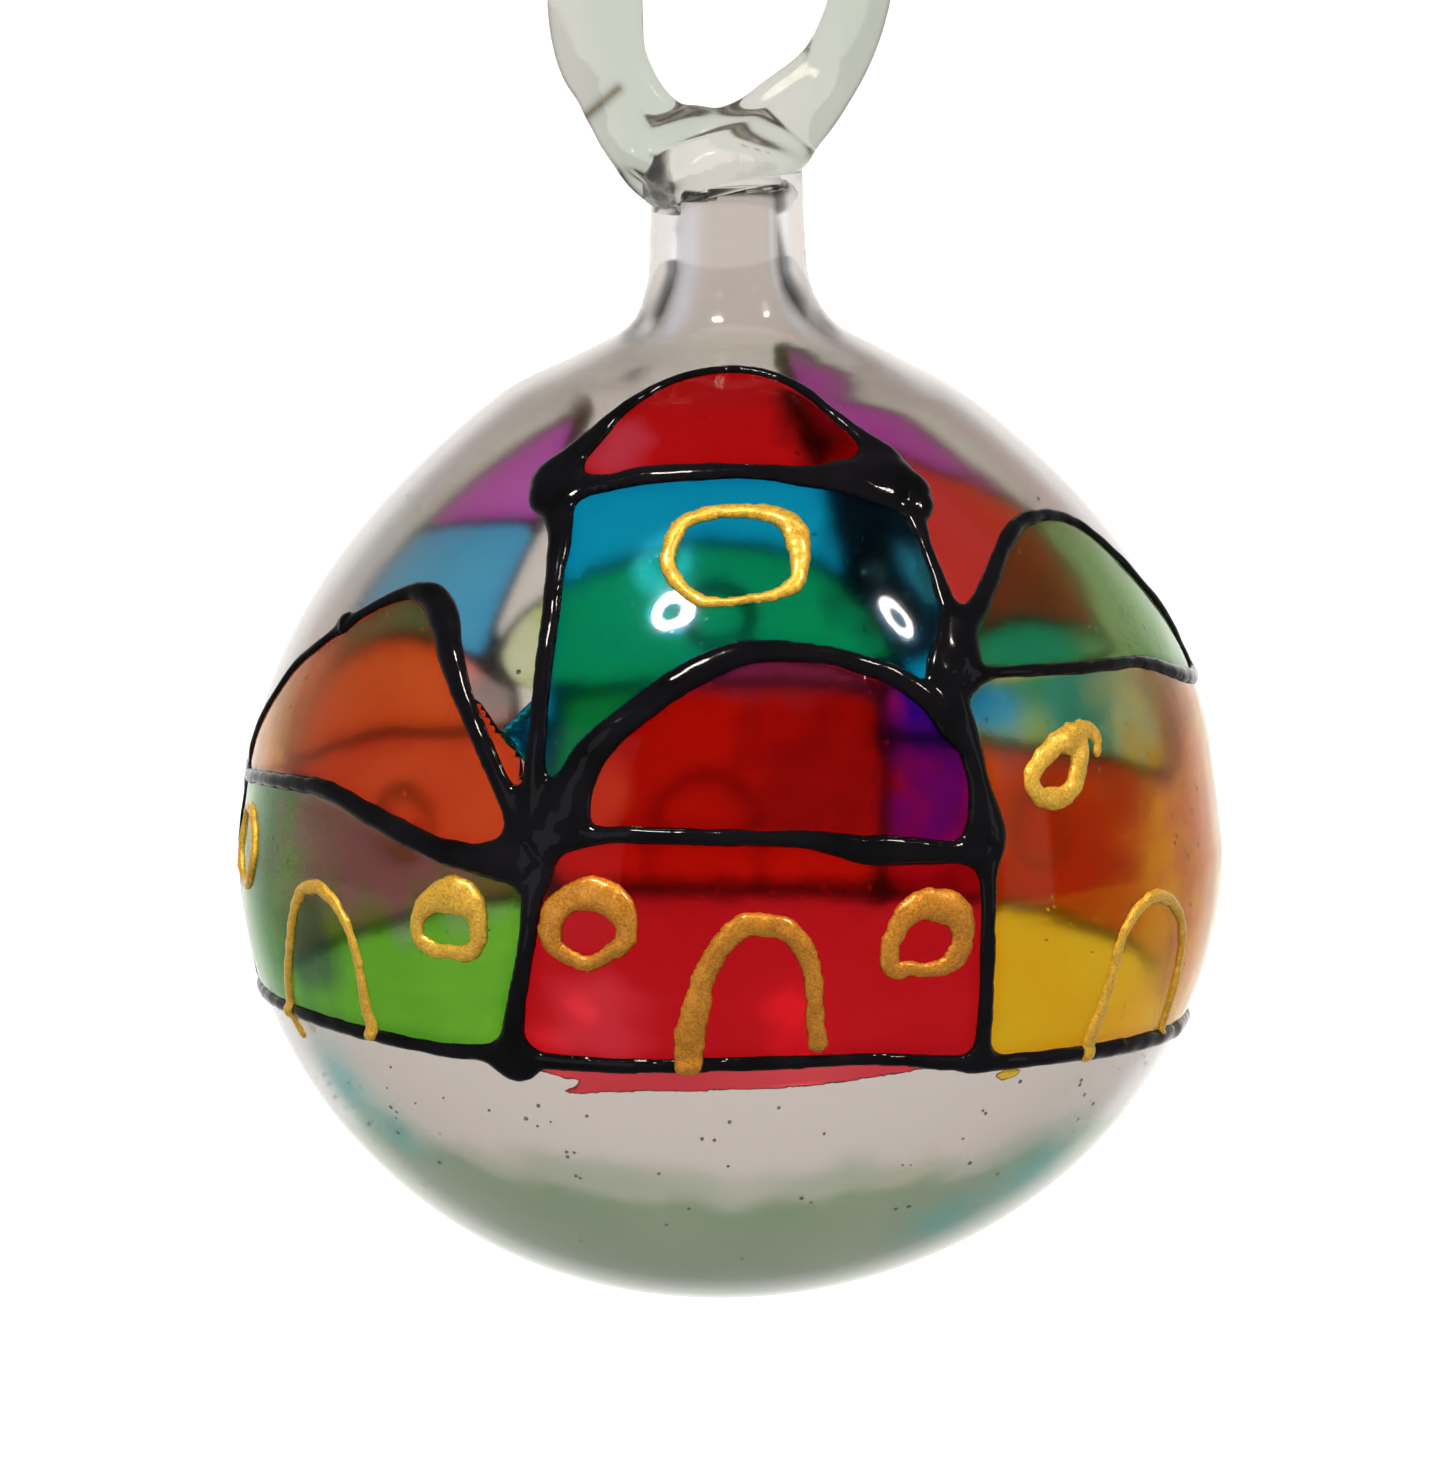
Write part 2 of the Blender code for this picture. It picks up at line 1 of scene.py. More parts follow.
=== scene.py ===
"""Looks of a blown glass ball painted with a stained-glass town.

The globe and its trailed loop are one fused body of clear glass. On it lie see-through
colour films, a net of raised black contour paste and glittering gold outlines. Paint is
made as a relief on a fine grid that follows the glass: a piece is where its field is
above zero, and the field also shapes the bead's round back. Lengths are in millimetres
until a mesh is made. A point on the glass is (longitude, height): longitude in degrees
from the front towards +X, height above the globe's widest circle.
"""

import math

import bmesh
import bpy
import numpy as np
from mathutils import Matrix, Vector


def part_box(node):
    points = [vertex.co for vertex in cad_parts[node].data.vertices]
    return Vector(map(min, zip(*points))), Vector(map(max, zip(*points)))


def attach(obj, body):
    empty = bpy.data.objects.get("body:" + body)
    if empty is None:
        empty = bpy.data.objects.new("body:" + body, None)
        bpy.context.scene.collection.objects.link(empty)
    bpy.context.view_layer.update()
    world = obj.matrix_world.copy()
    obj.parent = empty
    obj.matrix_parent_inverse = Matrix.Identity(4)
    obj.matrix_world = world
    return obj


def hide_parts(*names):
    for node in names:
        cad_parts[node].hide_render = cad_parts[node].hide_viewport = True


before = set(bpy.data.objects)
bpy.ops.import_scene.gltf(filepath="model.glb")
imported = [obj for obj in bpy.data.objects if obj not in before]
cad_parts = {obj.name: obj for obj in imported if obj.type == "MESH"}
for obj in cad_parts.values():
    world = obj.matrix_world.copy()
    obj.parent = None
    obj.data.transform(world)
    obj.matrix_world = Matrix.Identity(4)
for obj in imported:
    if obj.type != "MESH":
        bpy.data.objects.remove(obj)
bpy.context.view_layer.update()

MM = 0.001
GLOBE_LOW, GLOBE_HIGH = (np.array(corner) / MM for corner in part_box("glass_globe"))
GLOBE_RADIUS = (GLOBE_HIGH[0] - GLOBE_LOW[0]) / 2
CAD_BOWL_DEPTH = 32.9
BOWL_DEPTH = 32.4  # the glass sits this far below the widest circle, just inside the CAD
EQUATOR_Z = GLOBE_LOW[2] + CAD_BOWL_DEPTH
WALL = 0.9
NECK_WALL = 1.9
NECK_TOP, HOLLOW_TOP = 48.8, 45.9  # heights inside the gather, which hides both
RINGS, SEGMENTS = 120, 224
LINE_STEP, FILM_STEP = 0.22, 0.5  # spacing of the points that the paint is made on
PAINT_LOW, PAINT_HIGH = -16.5, 36.8  # heights between which those points lie
FAR_OUTSIDE = -9.0  # a field's value where nothing is near
FLOOR_DROP = 0.11  # metres from the widest circle down to the floor
CAMERA_ELEVATION, CAMERA_DISTANCE, LENS = 8.5, 0.5, 174.1  # degrees, metres, mm
AIM_ASIDE, AIM_ABOVE = -0.68, 7.23  # the camera's aim, from the middle of the widest circle

# The outside of the glass above the widest circle: (height, radius).
SHOULDER = [
    (0.0, 35.0), (8.8, 33.7), (14.6, 31.6), (20.4, 28.2), (26.2, 23.3), (32.0, 16.6),
    (34.9, 11.2), (37.1, 7.3), (40.0, 5.8), (43.4, 5.5), (45.6, 5.4), (48.2, 5.3),
]

# Strokes of black contour paste: (longitude, height, half width).
BASE_LINE = [
    (-92, -9.9, 0.5), (-81, -9.8, 0.5), (-63.5, -9.7, 0.5), (-49, -9.9, 0.5), (-36, -10.2, 0.5),
    (-30.5, -10.1, 0.6), (-26, -10.3, 0.9), (-22, -10.3, 0.6), (-11, -10.3, 0.5), (3, -10, 0.48),
    (14.5, -9.9, 0.43), (20, -10.1, 0.43), (26.5, -10.6, 0.53), (31, -10.9, 0.62), (43, -11.1, 0.55),
    (58, -11.5, 0.66), (76, -12, 0.7), (92, -12.1, 0.7), (101, -11, 0.7), (112, -9.9, 0.5),
    (125, -9.5, 0.45), (143, -8.8, 0.4), (180, -8.7, 0.4), (208, -8.7, 0.4), (235, -9.7, 0.4),
    (255, -10.1, 0.45), (268, -9.9, 0.5),
]
CENTRE_LEFT_WALL = [
    (-25.9, -10.3, 1.1), (-25.4, -7.9, 0.78), (-24, -4.4, 0.62), (-22.9, -1.2, 0.64),
    (-22.6, 2.2, 0.8), (-22.9, 5.5, 0.85), (-23.4, 10.1, 0.74), (-23.7, 13.1, 0.63),
    (-25.1, 19, 0.65), (-26.4, 21.6, 0.65), (-27.6, 23.6, 0.8), (-29.1, 25, 0.95), (-31.6, 26.4, 1.3),
]
CENTRE_RIGHT_WALL = [
    (30.4, 25.6, 0.8), (30.1, 23.7, 0.5), (30.1, 21.5, 0.54), (29.9, 19.3, 0.8), (29.2, 17.7, 1.15),
    (28, 15.8, 1.3), (27.7, 13.9, 1.0), (28.2, 11.3, 0.92), (29, 8.6, 0.8), (29.5, 5.8, 1.2),
    (29.5, 3.2, 0.7), (29.3, -1.4, 0.54), (29.9, -6.3, 0.55), (30.7, -10.3, 0.62),
]
TOWER_ROOF = [
    (-34.5, 27.9, 1.45), (-33, 29.1, 1.1), (-30.5, 30.6, 0.8), (-27.5, 32.1, 0.5), (-21.4, 33.7, 0.4),
    (-11.4, 34.5, 0.36), (1.5, 34.7, 0.36), (12.6, 34.3, 0.38), (20, 33.4, 0.38), (24.4, 32, 0.42),
    (27.7, 30.6, 0.6), (30.4, 29.4, 1.1),
]
TOWER_EAVE = [
    (-33.3, 27.2, 1.45), (-23.9, 27.6, 0.78), (-16.2, 28.2, 0.8), (-5.2, 28.5, 0.72),
    (4.9, 28.5, 0.62), (12.6, 28.2, 0.9), (16.9, 28.1, 1.1), (22.2, 28, 1.65), (27.4, 27.8, 2.3),
]
CENTRE_DOME = [
    (-19.2, 7.4, 1.4), (-18, 9, 1.3), (-16.5, 10.8, 1.15), (-13.2, 12.7, 1.0), (-6.6, 15.5, 1.0),
    (-0.1, 17.1, 0.9), (4.2, 17.4, 0.78), (8.4, 17.3, 0.7), (12.6, 17, 0.62), (18.5, 16, 0.7),
    (21.5, 15.2, 0.75), (24.3, 13.9, 0.85), (26.4, 12.3, 0.95),
]
CENTRE_EAVE = [
    (-21.5, 4.9, 1.3), (-15, 5.4, 0.6), (-9.2, 5.5, 0.57), (1.9, 5.4, 0.52), (7.5, 5.3, 0.55),
    (11.4, 4.9, 0.75), (14.3, 4.5, 0.9), (17.1, 4.4, 1.0), (20.7, 4.2, 0.9), (24.9, 4, 0.75),
    (28.7, 4, 1.0),
]
LEFT_DOME = [
    (-90, 5.4, 0.4), (-84, 8.4, 0.36), (-77, 11.7, 0.34), (-72.5, 14.1, 0.38), (-67.5, 15.7, 0.4),
    (-60, 18.1, 0.42), (-52.5, 19.8, 0.56), (-48, 20, 0.9), (-44.5, 19.4, 1.1), (-41.5, 18.2, 1.15),
    (-39.4, 16.8, 1.0), (-37, 15.3, 0.86), (-35.3, 14.1, 0.72), (-31.2, 11.4, 0.67),
    (-26.7, 7.7, 0.68), (-25, 6, 0.8),
]
LEFT_EAVE = [
    (-93, 5.1, 0.5), (-83, 5.4, 0.5), (-75, 5.9, 0.5), (-64.5, 6.4, 0.55), (-57.5, 6.6, 0.6),
    (-53, 6.4, 0.65), (-48.5, 5.8, 0.72), (-44, 5.1, 0.76), (-36.5, 3.9, 0.8), (-33.3, 3.5, 0.88),
    (-29.7, 3.3, 1.05), (-26.5, 3.4, 1.5), (-23.8, 3.6, 1.7),
]
LEFT_END_WALL = [(-92, -9.9, 0.6), (-93, -3, 0.5), (-92, 5.2, 0.6)]
RIGHT_DOME = [
    (28.5, 16.5, 1.1), (30.5, 17.7, 1.1), (32.6, 18.8, 0.9), (35.7, 19.9, 0.72), (39, 21.2, 0.6),
    (43.2, 22.7, 0.57), (48, 23.9, 0.6), (53.5, 24.6, 0.55), (60.7, 24.7, 0.5), (67.4, 24.1, 0.46),
    (73, 22.6, 0.46), (79, 19.6, 0.5), (87, 16, 0.5), (94, 12, 0.5),
]
RIGHT_EAVE = [
    (29.9, 15.4, 0.9), (32.9, 15.4, 0.55), (35, 15.4, 0.4), (41.2, 15.3, 0.42), (48.2, 15.1, 0.44),
    (59.3, 14.9, 0.44), (66, 14.4, 0.5), (75.8, 13.1, 0.6), (84, 12.4, 0.6), (93, 12, 0.6),
    (102, 11.6, 0.5),
]
RIGHT_END_WALL = [(99, -11.2, 0.9), (101, -7, 0.7), (102, 2, 0.5), (102, 11.6, 0.5)]
BACK_CENTRE_LEFT_WALL = [(204, -8.5, 0.5), (204, -1, 0.4), (203, 7, 0.45)]
BACK_CENTRE_RIGHT_WALL = [(160, -8.9, 0.5), (160, -1, 0.4), (160.5, 7, 0.45)]
BACK_CENTRE_EAVE = [(160.5, 7, 0.5), (172, 7.4, 0.4), (190, 7.3, 0.4), (203, 7, 0.5)]
BACK_CENTRE_DOME = [
    (158, 8.2, 0.4), (159, 12, 0.4), (164, 15.6, 0.45), (172, 18.0, 0.4), (184, 18.8, 0.4),
    (196, 17.6, 0.35), (204, 15.6, 0.3), (210, 13.5, 0.26), (212.5, 10.8, 0.26), (212.3, 8.4, 0.26),
]
BACK_LEFT_EAVE = [
    (204, 4.2, 0.5), (218, 4.6, 0.4), (232, 5.2, 0.4), (248, 4.6, 0.4), (268, 4.8, 0.5),
]
BACK_LEFT_DOME = [
    (208.5, 4.4, 0.4), (211.5, 8.6, 0.26), (228, 12.6, 0.4), (242, 12.2, 0.4), (252, 8.8, 0.4),
    (256, 4.6, 0.5),
]
BACK_LEFT_TOWER = [
    (247.5, 12.2, 0.3), (246, 16.2, 0.26), (244, 19, 0.26), (240, 22, 0.26), (237, 24.2, 0.26),
    (232, 26.4, 0.26), (226.5, 28.3, 0.28), (221, 30, 0.45), (217.5, 30.6, 0.7), (214.5, 28.5, 0.7),
    (212, 24.5, 0.4), (211.8, 20.5, 0.26), (213.3, 16, 0.26), (214.3, 12.4, 0.26), (214.3, 9.6, 0.3),
]
BACK_LEFT_TOWER_EAVE = [(240, 21.6, 0.26), (226, 21.6, 0.26), (218, 21.4, 0.3), (211.8, 21, 0.35)]
BACK_RIGHT_EAVE = [(102, 3.4, 0.5), (112, 3.4, 0.4), (136, 3.6, 0.4), (160, 3.6, 0.5)]
BACK_RIGHT_DOME = [
    (104, 3.6, 0.5), (108, 9.6, 0.4), (120, 13.2, 0.4), (134, 14, 0.45), (146, 11.6, 0.4),
    (150, 3.8, 0.5),
]
BACK_RIGHT_TOWER = [
    (118.5, 13, 0.4), (119.5, 19, 0.35), (122, 22.6, 0.26), (126, 24.8, 0.26), (131, 26.6, 0.26),
    (134.5, 28.6, 0.26), (138.5, 30.6, 0.26), (144, 32.1, 0.26), (153, 33.9, 0.28), (161, 34.6, 0.45),
    (165, 33, 0.6), (164.5, 27, 0.45), (163.5, 20, 0.4), (162, 14.5, 0.5),
]
BACK_RIGHT_TOWER_EAVE = [
    (122, 22.8, 0.26), (128, 23.8, 0.26), (133.5, 24.9, 0.26), (139.5, 25.2, 0.26),
    (145.5, 26.2, 0.28), (155, 27.2, 0.35), (164.5, 27, 0.4),
]
BLACK_STROKES = [
    BASE_LINE, CENTRE_LEFT_WALL, CENTRE_RIGHT_WALL, TOWER_ROOF, TOWER_EAVE, CENTRE_DOME,
    CENTRE_EAVE, LEFT_DOME, LEFT_EAVE, LEFT_END_WALL, RIGHT_DOME, RIGHT_EAVE, RIGHT_END_WALL,
    BACK_CENTRE_LEFT_WALL, BACK_CENTRE_RIGHT_WALL, BACK_CENTRE_EAVE, BACK_CENTRE_DOME,
    BACK_LEFT_EAVE, BACK_LEFT_DOME, BACK_LEFT_TOWER, BACK_LEFT_TOWER_EAVE, BACK_RIGHT_EAVE,
    BACK_RIGHT_DOME, BACK_RIGHT_TOWER, BACK_RIGHT_TOWER_EAVE,
]
# Places where the nozzle rested and the paste spread: (longitude, height, radius).
BLACK_BLOBS = [
    (-25.9, -10.5, 1.2), (29, 27.8, 2.35), (32.2, 27.2, 1.65), (32.4, 26.3, 1.15), (29.6, 4.8, 1.3),
    (-22.6, 5.1, 1.5), (-23.5, 4, 1.6), (-20.7, 6.1, 1.4), (-19.1, 7.2, 1.4), (-22.5, 2.6, 1.0),
    (-34.5, 27.9, 1.5), (-33.4, 26.9, 1.4), (27.9, 15.7, 1.45), (30.2, 16.9, 1.0), (-63.2, 17.4, 0.7),
]


def base_at(longitude):
    """Height of the black line that the town stands on."""
    knots = np.array(BASE_LINE)
    return float(np.interp(longitude, knots[:, 0], knots[:, 1]))


def base_span(first, last):
    """The base line between two longitudes, as points of an outline."""
    return [(lon, base_at(lon)) for lon in np.linspace(first, last, 9)]


def smooth(points, steps):
    """The points joined by a Catmull-Rom curve, with this many steps between neighbours."""
    knots = np.array(points, float)
    closed = np.allclose(knots[0], knots[-1])
    before = knots[-2] if closed else 2 * knots[0] - knots[1]
    after = knots[1] if closed else 2 * knots[-1] - knots[-2]
    padded = np.vstack([before, knots, after])
    curve = []
    for a, b, c, d in zip(padded, padded[1:], padded[2:], padded[3:]):
        for t in np.arange(steps) / steps:
            square = (2 * a - 5 * b + 4 * c - d) * t**2
            cube = (3 * b - a - 3 * c + d) * t**3
            curve.append(0.5 * (2 * b + (c - a) * t + square + cube))
    return np.array(curve + [knots[-1]])


def travelled(curve):
    return np.concatenate([[0], np.cumsum(np.linalg.norm(np.diff(curve, axis=0), axis=1))])


def waves(points, size, seed, count=14):
    """Smooth noise between about -1 and 1, from seeded sine waves about this long."""
    random = np.random.default_rng(seed)
    total = np.zeros(points.shape[:-1])
    for _ in range(count):
        direction = random.normal(size=3)
        direction *= 2 * math.pi / size * random.uniform(0.6, 1.5) / np.linalg.norm(direction)
        total += np.sin(points @ direction + random.uniform(0, 2 * math.pi))
    return total / math.sqrt(count)


SHOULDER_CURVE = smooth(SHOULDER, 12)


def radius_at(height):
    height = np.asarray(height, float)
    below = GLOBE_RADIUS * np.sqrt(np.clip(1 - (height / BOWL_DEPTH) ** 2, 0, 1))
    above = np.interp(height, SHOULDER_CURVE[:, 0], SHOULDER_CURVE[:, 1])
    return np.where(height < 0, below, above)


def swell(turn, height):
    """Blown freely, the globe isn't quite round."""
    return 1 + 0.0028 * np.sin(2 * turn + 0.6) + 0.002 * np.sin(3 * turn + 0.05 * height)


def lean(height):
    """How far the blown shape strays sideways from the neck's axis."""
    return np.interp(
        height,
        [-33, -29, -26, -22, -10, 0, 18, 25, 31, 32.5, 34.9, 36.5, 39.2, 43],
        [-1.0, -0.72, -0.5, -0.32, -0.18, 0, 0.1, 0.18, 0.05, -0.05, 0.25, 0.2, -0.2, -0.34],
    )


def surface(longitude, height):
    """Points on the outside of the glass, and the directions out of it."""
    turn = np.radians(longitude)
    radius = radius_at(height)
    slope = (radius_at(np.asarray(height) + 0.2) - radius_at(np.asarray(height) - 0.2)) / 0.4
    slope = np.clip(slope, -60, 60)
    radius = radius * swell(turn, height)
    points = np.stack([
        radius * np.sin(turn) + lean(height),
        -radius * np.cos(turn),
        EQUATOR_Z + np.asarray(height) + 0 * turn,
    ], -1)
    outward = np.stack([np.sin(turn), -np.cos(turn), -slope + 0 * turn], -1)
    return points, outward / np.linalg.norm(outward, axis=-1, keepdims=True)


class Grid:
    """A net of points on the glass, round the whole globe and over the painted heights."""

    def __init__(self, step):
        self.step = step
        fine = np.linspace(PAINT_LOW, PAINT_HIGH, 4000)
        along = travelled(np.column_stack([radius_at(fine), fine]))
        rows = int(along[-1] / step) + 1
        self.heights = np.interp(np.linspace(0, along[-1], rows), along, fine)
        self.columns = int(2 * math.pi * GLOBE_RADIUS / step)
        self.longitudes = np.arange(self.columns) * 360 / self.columns
        lon, height = np.meshgrid(self.longitudes, self.heights)
        self.points, self.outward = surface(lon, height)
        self.shape = lon.shape
        self.lon, self.height = lon, height

    def empty(self):
        return np.full(self.shape, FAR_OUTSIDE)

    def window(self, longitude, height, reach):
        row = int(np.searchsorted(self.heights, height))
        span = int(reach / self.step) + 1
        rows = np.arange(max(0, row - span - 2), min(self.shape[0], row + span + 3))
        radius = max(4.0, float(radius_at(height)) - 0.4 * reach)
        column = int(round(longitude / 360 * self.columns))
        wide = int(reach / (2 * math.pi * radius) * self.columns) + 2
        columns = np.arange(column - wide, column + wide + 1) % self.columns
        return np.ix_(rows, columns)

    def dab(self, field, width, longitude, height, half, reach=2.2):
        """Raises the field to half minus the distance from one spot."""
        spot = surface(longitude, height)[0]
        where = self.window(longitude, height, half + reach)
        value = half - np.linalg.norm(self.points[where] - spot, axis=-1)
        better = value > field[where]
        field[where] = np.where(better, value, field[where])
        width[where] = np.where(better, half, width[where])

    def stroke(self, points, reach=2.2):
        """(field, half width) of a stroke through (longitude, height, half width) points."""
        field, width = self.empty(), np.full(self.shape, 0.5)
        curve = smooth(points, 12)
        path = surface(curve[:, 0], curve[:, 1])[0]
        along = travelled(path)
        count = max(3, int(along[-1] / LINE_STEP))
        at = np.linspace(0, along[-1], count)
        for spot in np.column_stack([np.interp(at, along, column) for column in curve.T]):
            self.dab(field, width, *spot, reach)
        return field, width

    def inside(self, outline, reach=2.5):
        """Signed distance to a closed outline of (longitude, height) points, inside above zero."""
        ring = np.array(outline, float)
        ring = np.vstack([ring, ring[:1]])
        sides = list(zip(ring, ring[1:]))
        steps = np.concatenate([np.linspace(a, b, 12, endpoint=False) for a, b in sides])
        edge = surface(steps[:, 0], steps[:, 1])[0]
        low, high = ring.min(axis=0) - (3, 1), ring.max(axis=0) + (3, 1)
        middle = (low[0] + high[0]) / 2
        lon = (self.longitudes - middle + 180) % 360 - 180 + middle
        columns = np.flatnonzero((lon > low[0]) & (lon < high[0]))
        rows = np.flatnonzero((self.heights > low[1]) & (self.heights < high[1]))
        where = np.ix_(rows, columns)
        x, y = np.meshgrid(lon[columns], self.heights[rows])
        within = np.zeros(x.shape, bool)
        for (x0, y0), (x1, y1) in sides:
            if y0 == y1:
                continue
            crossing = (y0 > y) != (y1 > y)
            within ^= crossing & (x < (x1 - x0) * (y - y0) / (y1 - y0) + x0)
        near = np.full(x.shape, 99.0)
        flat = self.points[where]
        for spot in edge:
            near = np.minimum(near, ((flat - spot) ** 2).sum(-1))
        near = np.minimum(np.sqrt(near), reach)
        field = self.empty()
        field[where] = np.where(within, near, -near)
        return field


def merge(a, b, blend):
    """The higher of two fields, with the corner between them filled as wet paste fills it."""
    overlap = np.clip(blend - np.abs(a - b), 0, None) / blend
    return np.maximum(a, b) + overlap**2 * blend / 4


def lit_by_lamps(piece):
    """The small lamps light only the glossy pieces, so that the floor stays even."""
    group = bpy.data.collections.get("lamp_lit") or bpy.data.collections.new("lamp_lit")
    group.objects.link(piece)


def split_cells(solid):
    """The grid's cells by corner numbers: those wholly inside, and those the rim runs through."""
    right = np.roll(solid, -1, axis=1)
    number = np.arange(solid.size).reshape(solid.shape)
    beside = np.roll(number, -1, axis=1)
    ids = np.stack([number[:-1], beside[:-1], beside[1:], number[1:]], -1)
    corners = (solid[:-1], right[:-1], right[1:], solid[1:])
    count = sum(corner.astype(int) for corner in corners)
    return ids[count == 4], ids[(count > 0) & (count < 4)]


def relief(name, grid, field, top, bottom, material, marks=None):
    """A closed mesh over the cells where the field is above zero.

    top and bottom are heights above the glass. They meet at the rim, which is cut where
    the field crosses zero. marks are values kept on the points for the material.
    """
    whole, mixed = split_cells(field > 0)
    values, bottoms = field.ravel(), bottom.ravel()
    points, outward = grid.points.reshape(-1, 3), grid.outward.reshape(-1, 3)
    flat = {key: value.ravel() for key, value in (marks or {}).items()}
    used = np.unique(np.concatenate([whole.ravel(), mixed.ravel()]))
    used = used[values[used] > 0]
    offset = len(used)
    place = np.full(field.size, -1)
    place[used] = np.arange(offset)
    high = points[used] + outward[used] * top.ravel()[used][:, None]
    low = points[used] + outward[used] * bottoms[used][:, None]
    rim, rim_marks, crossing = [], [], {}

    def cut(a, b):
        """The number of the rim's point between two neighbours, made when first asked for."""
        a, b = sorted((a, b))
        if (a, b) not in crossing:
            share = min(max(values[a] / (values[a] - values[b]), 0.06), 0.94)
            foot, out, lift, *kept = (
                array[a] * (1 - share) + array[b] * share
                for array in (points, outward, bottoms, *flat.values())
            )
            crossing[a, b] = len(rim)
            rim.append(foot + out * lift)
            rim_marks.append(kept)
        return crossing[a, b]

    tops, lows = [], []
    for cell in mixed.tolist():
        upper, lower = [], []
        for a, b in zip(cell, cell[1:] + cell[:1]):
            if values[a] > 0:
                upper.append(place[a])
                lower.append(offset + place[a])
            if (values[a] > 0) != (values[b] > 0):
                spot = 2 * offset + cut(a, b)
                upper.append(spot)
                lower.append(spot)
        if len(upper) > 2:
            tops.append(upper)
            lows.append(lower[::-1])
    inner = place[whole]
    faces = inner.tolist() + (inner[:, ::-1] + offset).tolist() + tops + lows
    mesh = bpy.data.meshes.new(name)
    mesh.from_pydata((np.vstack([high, low, rim]) * MM).tolist(), [], faces)
    mesh.polygons.foreach_set("use_smooth", [True] * len(mesh.polygons))
    for (key, array), edge in zip(flat.items(), zip(*rim_marks)):
        layer = mesh.attributes.new(key, "FLOAT", "POINT")
        layer.data.foreach_set("value", np.concatenate([array[used], array[used], edge]))
    mesh.materials.append(material)
    mesh.update()
    piece = bpy.data.objects.new(name, mesh)
    bpy.context.scene.collection.objects.link(piece)
    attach(piece, "root")
    return piece


# ---------------------------------------------------------------- materials


class Shader:
    """A material whose nodes are added one call at a time."""

    def __init__(self, name, **sockets):
        self.material = bpy.data.materials.new(name)
        self.material.use_nodes = True
        self.tree = self.material.node_tree
        self.surface = self.tree.nodes["Principled BSDF"]
        for key, value in sockets.items():
            self.surface.inputs[key.replace("_", " ")].default_value = value
        self.place = self.add("ShaderNodeTexCoord").outputs["Object"]

    def add(self, kind, inputs=None, **settings):
        node = self.tree.nodes.new(kind)
        for key, value in settings.items():
            setattr(node, key, value)
        for key, value in (inputs or {}).items():
            if isinstance(value, bpy.types.NodeSocket):
                self.tree.links.new(value, node.inputs[key])
            else:
                node.inputs[key].default_value = value
        return node

    def link(self, output, socket):
        self.tree.links.new(output, self.surface.inputs[socket])

    def noise(self, scale, detail=3.0, stretch=(1, 1, 1), roughness=0.5, distortion=0.0):
        where = self.add("ShaderNodeMapping", {"Vector": self.place, "Scale": stretch})
        node = self.add("ShaderNodeTexNoise", {
            "Vector": where.outputs[0], "Scale": scale, "Detail": detail,
            "Roughness": roughness, "Distortion": distortion,
        })
        return node.outputs["Fac"]

    def ramp(self, value, low, high, to_low=0.0, to_high=1.0):
        node = self.add("ShaderNodeMapRange", {
            "Value": value, "From Min": low, "From Max": high, "To Min": to_low, "To Max": to_high,
        })
        return node.outputs[0]

    def maths(self, operation, a, b):
        return self.add("ShaderNodeMath", {0: a, 1: b}, operation=operation).outputs[0]

    def mix(self, factor, a, b, blend="MIX"):
        node = self.add("ShaderNodeMix", data_type="RGBA", blend_type=blend)
        for socket, value in ((0, factor), (6, a), (7, b)):
            if isinstance(value, bpy.types.NodeSocket):
                self.tree.links.new(value, node.inputs[socket])
            elif socket:
                node.inputs[socket].default_value = (*value, 1.0) if len(value) == 3 else value
            else:
                node.inputs[socket].default_value = value
        return node.outputs[2]

    def mark(self, name):
        return self.add("ShaderNodeAttribute", attribute_name=name).outputs["Fac"]

    def bump(self, height, strength, distance):
        inputs = {"Height": height, "Strength": strength, "Distance": distance}
        node = self.add("ShaderNodeBump", inputs)
        self.link(node.outputs[0], "Normal")


def glass_material():
    shader = Shader("clear_blown_glass", Roughness=0.08, IOR=1.46, Transmission_Weight=1.0)
    shader.surface.inputs["Specular Tint"].default_value = (0.32, 0.32, 0.32, 1)
    waver = shader.ramp(shader.noise(90.0, 3.0), 0.3, 0.7, 0.85, 1.0)
    thick = shader.maths("MULTIPLY", shader.mark("thick"), waver)
    body = shader.mix(thick, (0.665, 0.63, 0.6), (0.41, 0.47, 0.38))
    # Over the grey tint: cyan stains, painted reflections of the side windows as pale bluish bands on
    # the neck, and painted shade as dark spots at the neck's foot.
    tints = {"cyan": (0.15, 0.47, 0.47), "streak": (0.82, 0.87, 1.0), "painted_shade": (0.12, 0.12, 0.15)}
    for mark, tint in tints.items():
        body = shader.mix(shader.mark(mark), body, tint)
    shader.link(body, "Base Color")
    shader.bump(shader.noise(45.0, 2.0), 0.2, 0.0004)
    return shader.material


def gather_material():
    """The trailed rod is thicker and a little cloudy, with greenish streaks along it."""
    shader = Shader("clear_trailed_glass", Roughness=0.15, IOR=1.15, Transmission_Weight=1.0)
    shader.surface.inputs["Specular Tint"].default_value = (1.0, 1.0, 0.9, 1)
    streak = shader.ramp(shader.noise(130.0, 3.0, (1, 1, 0.35)), 0.4, 0.75)
    body = shader.mix(streak, (0.55, 0.535, 0.5), (0.39, 0.46, 0.38))
    shader.link(shader.mix(shader.mark("seam"), body, (0.06, 0.035, 0.008)), "Base Color")
    shader.bump(shader.noise(70.0, 2.0), 0.15, 0.0004)
    return shader.material


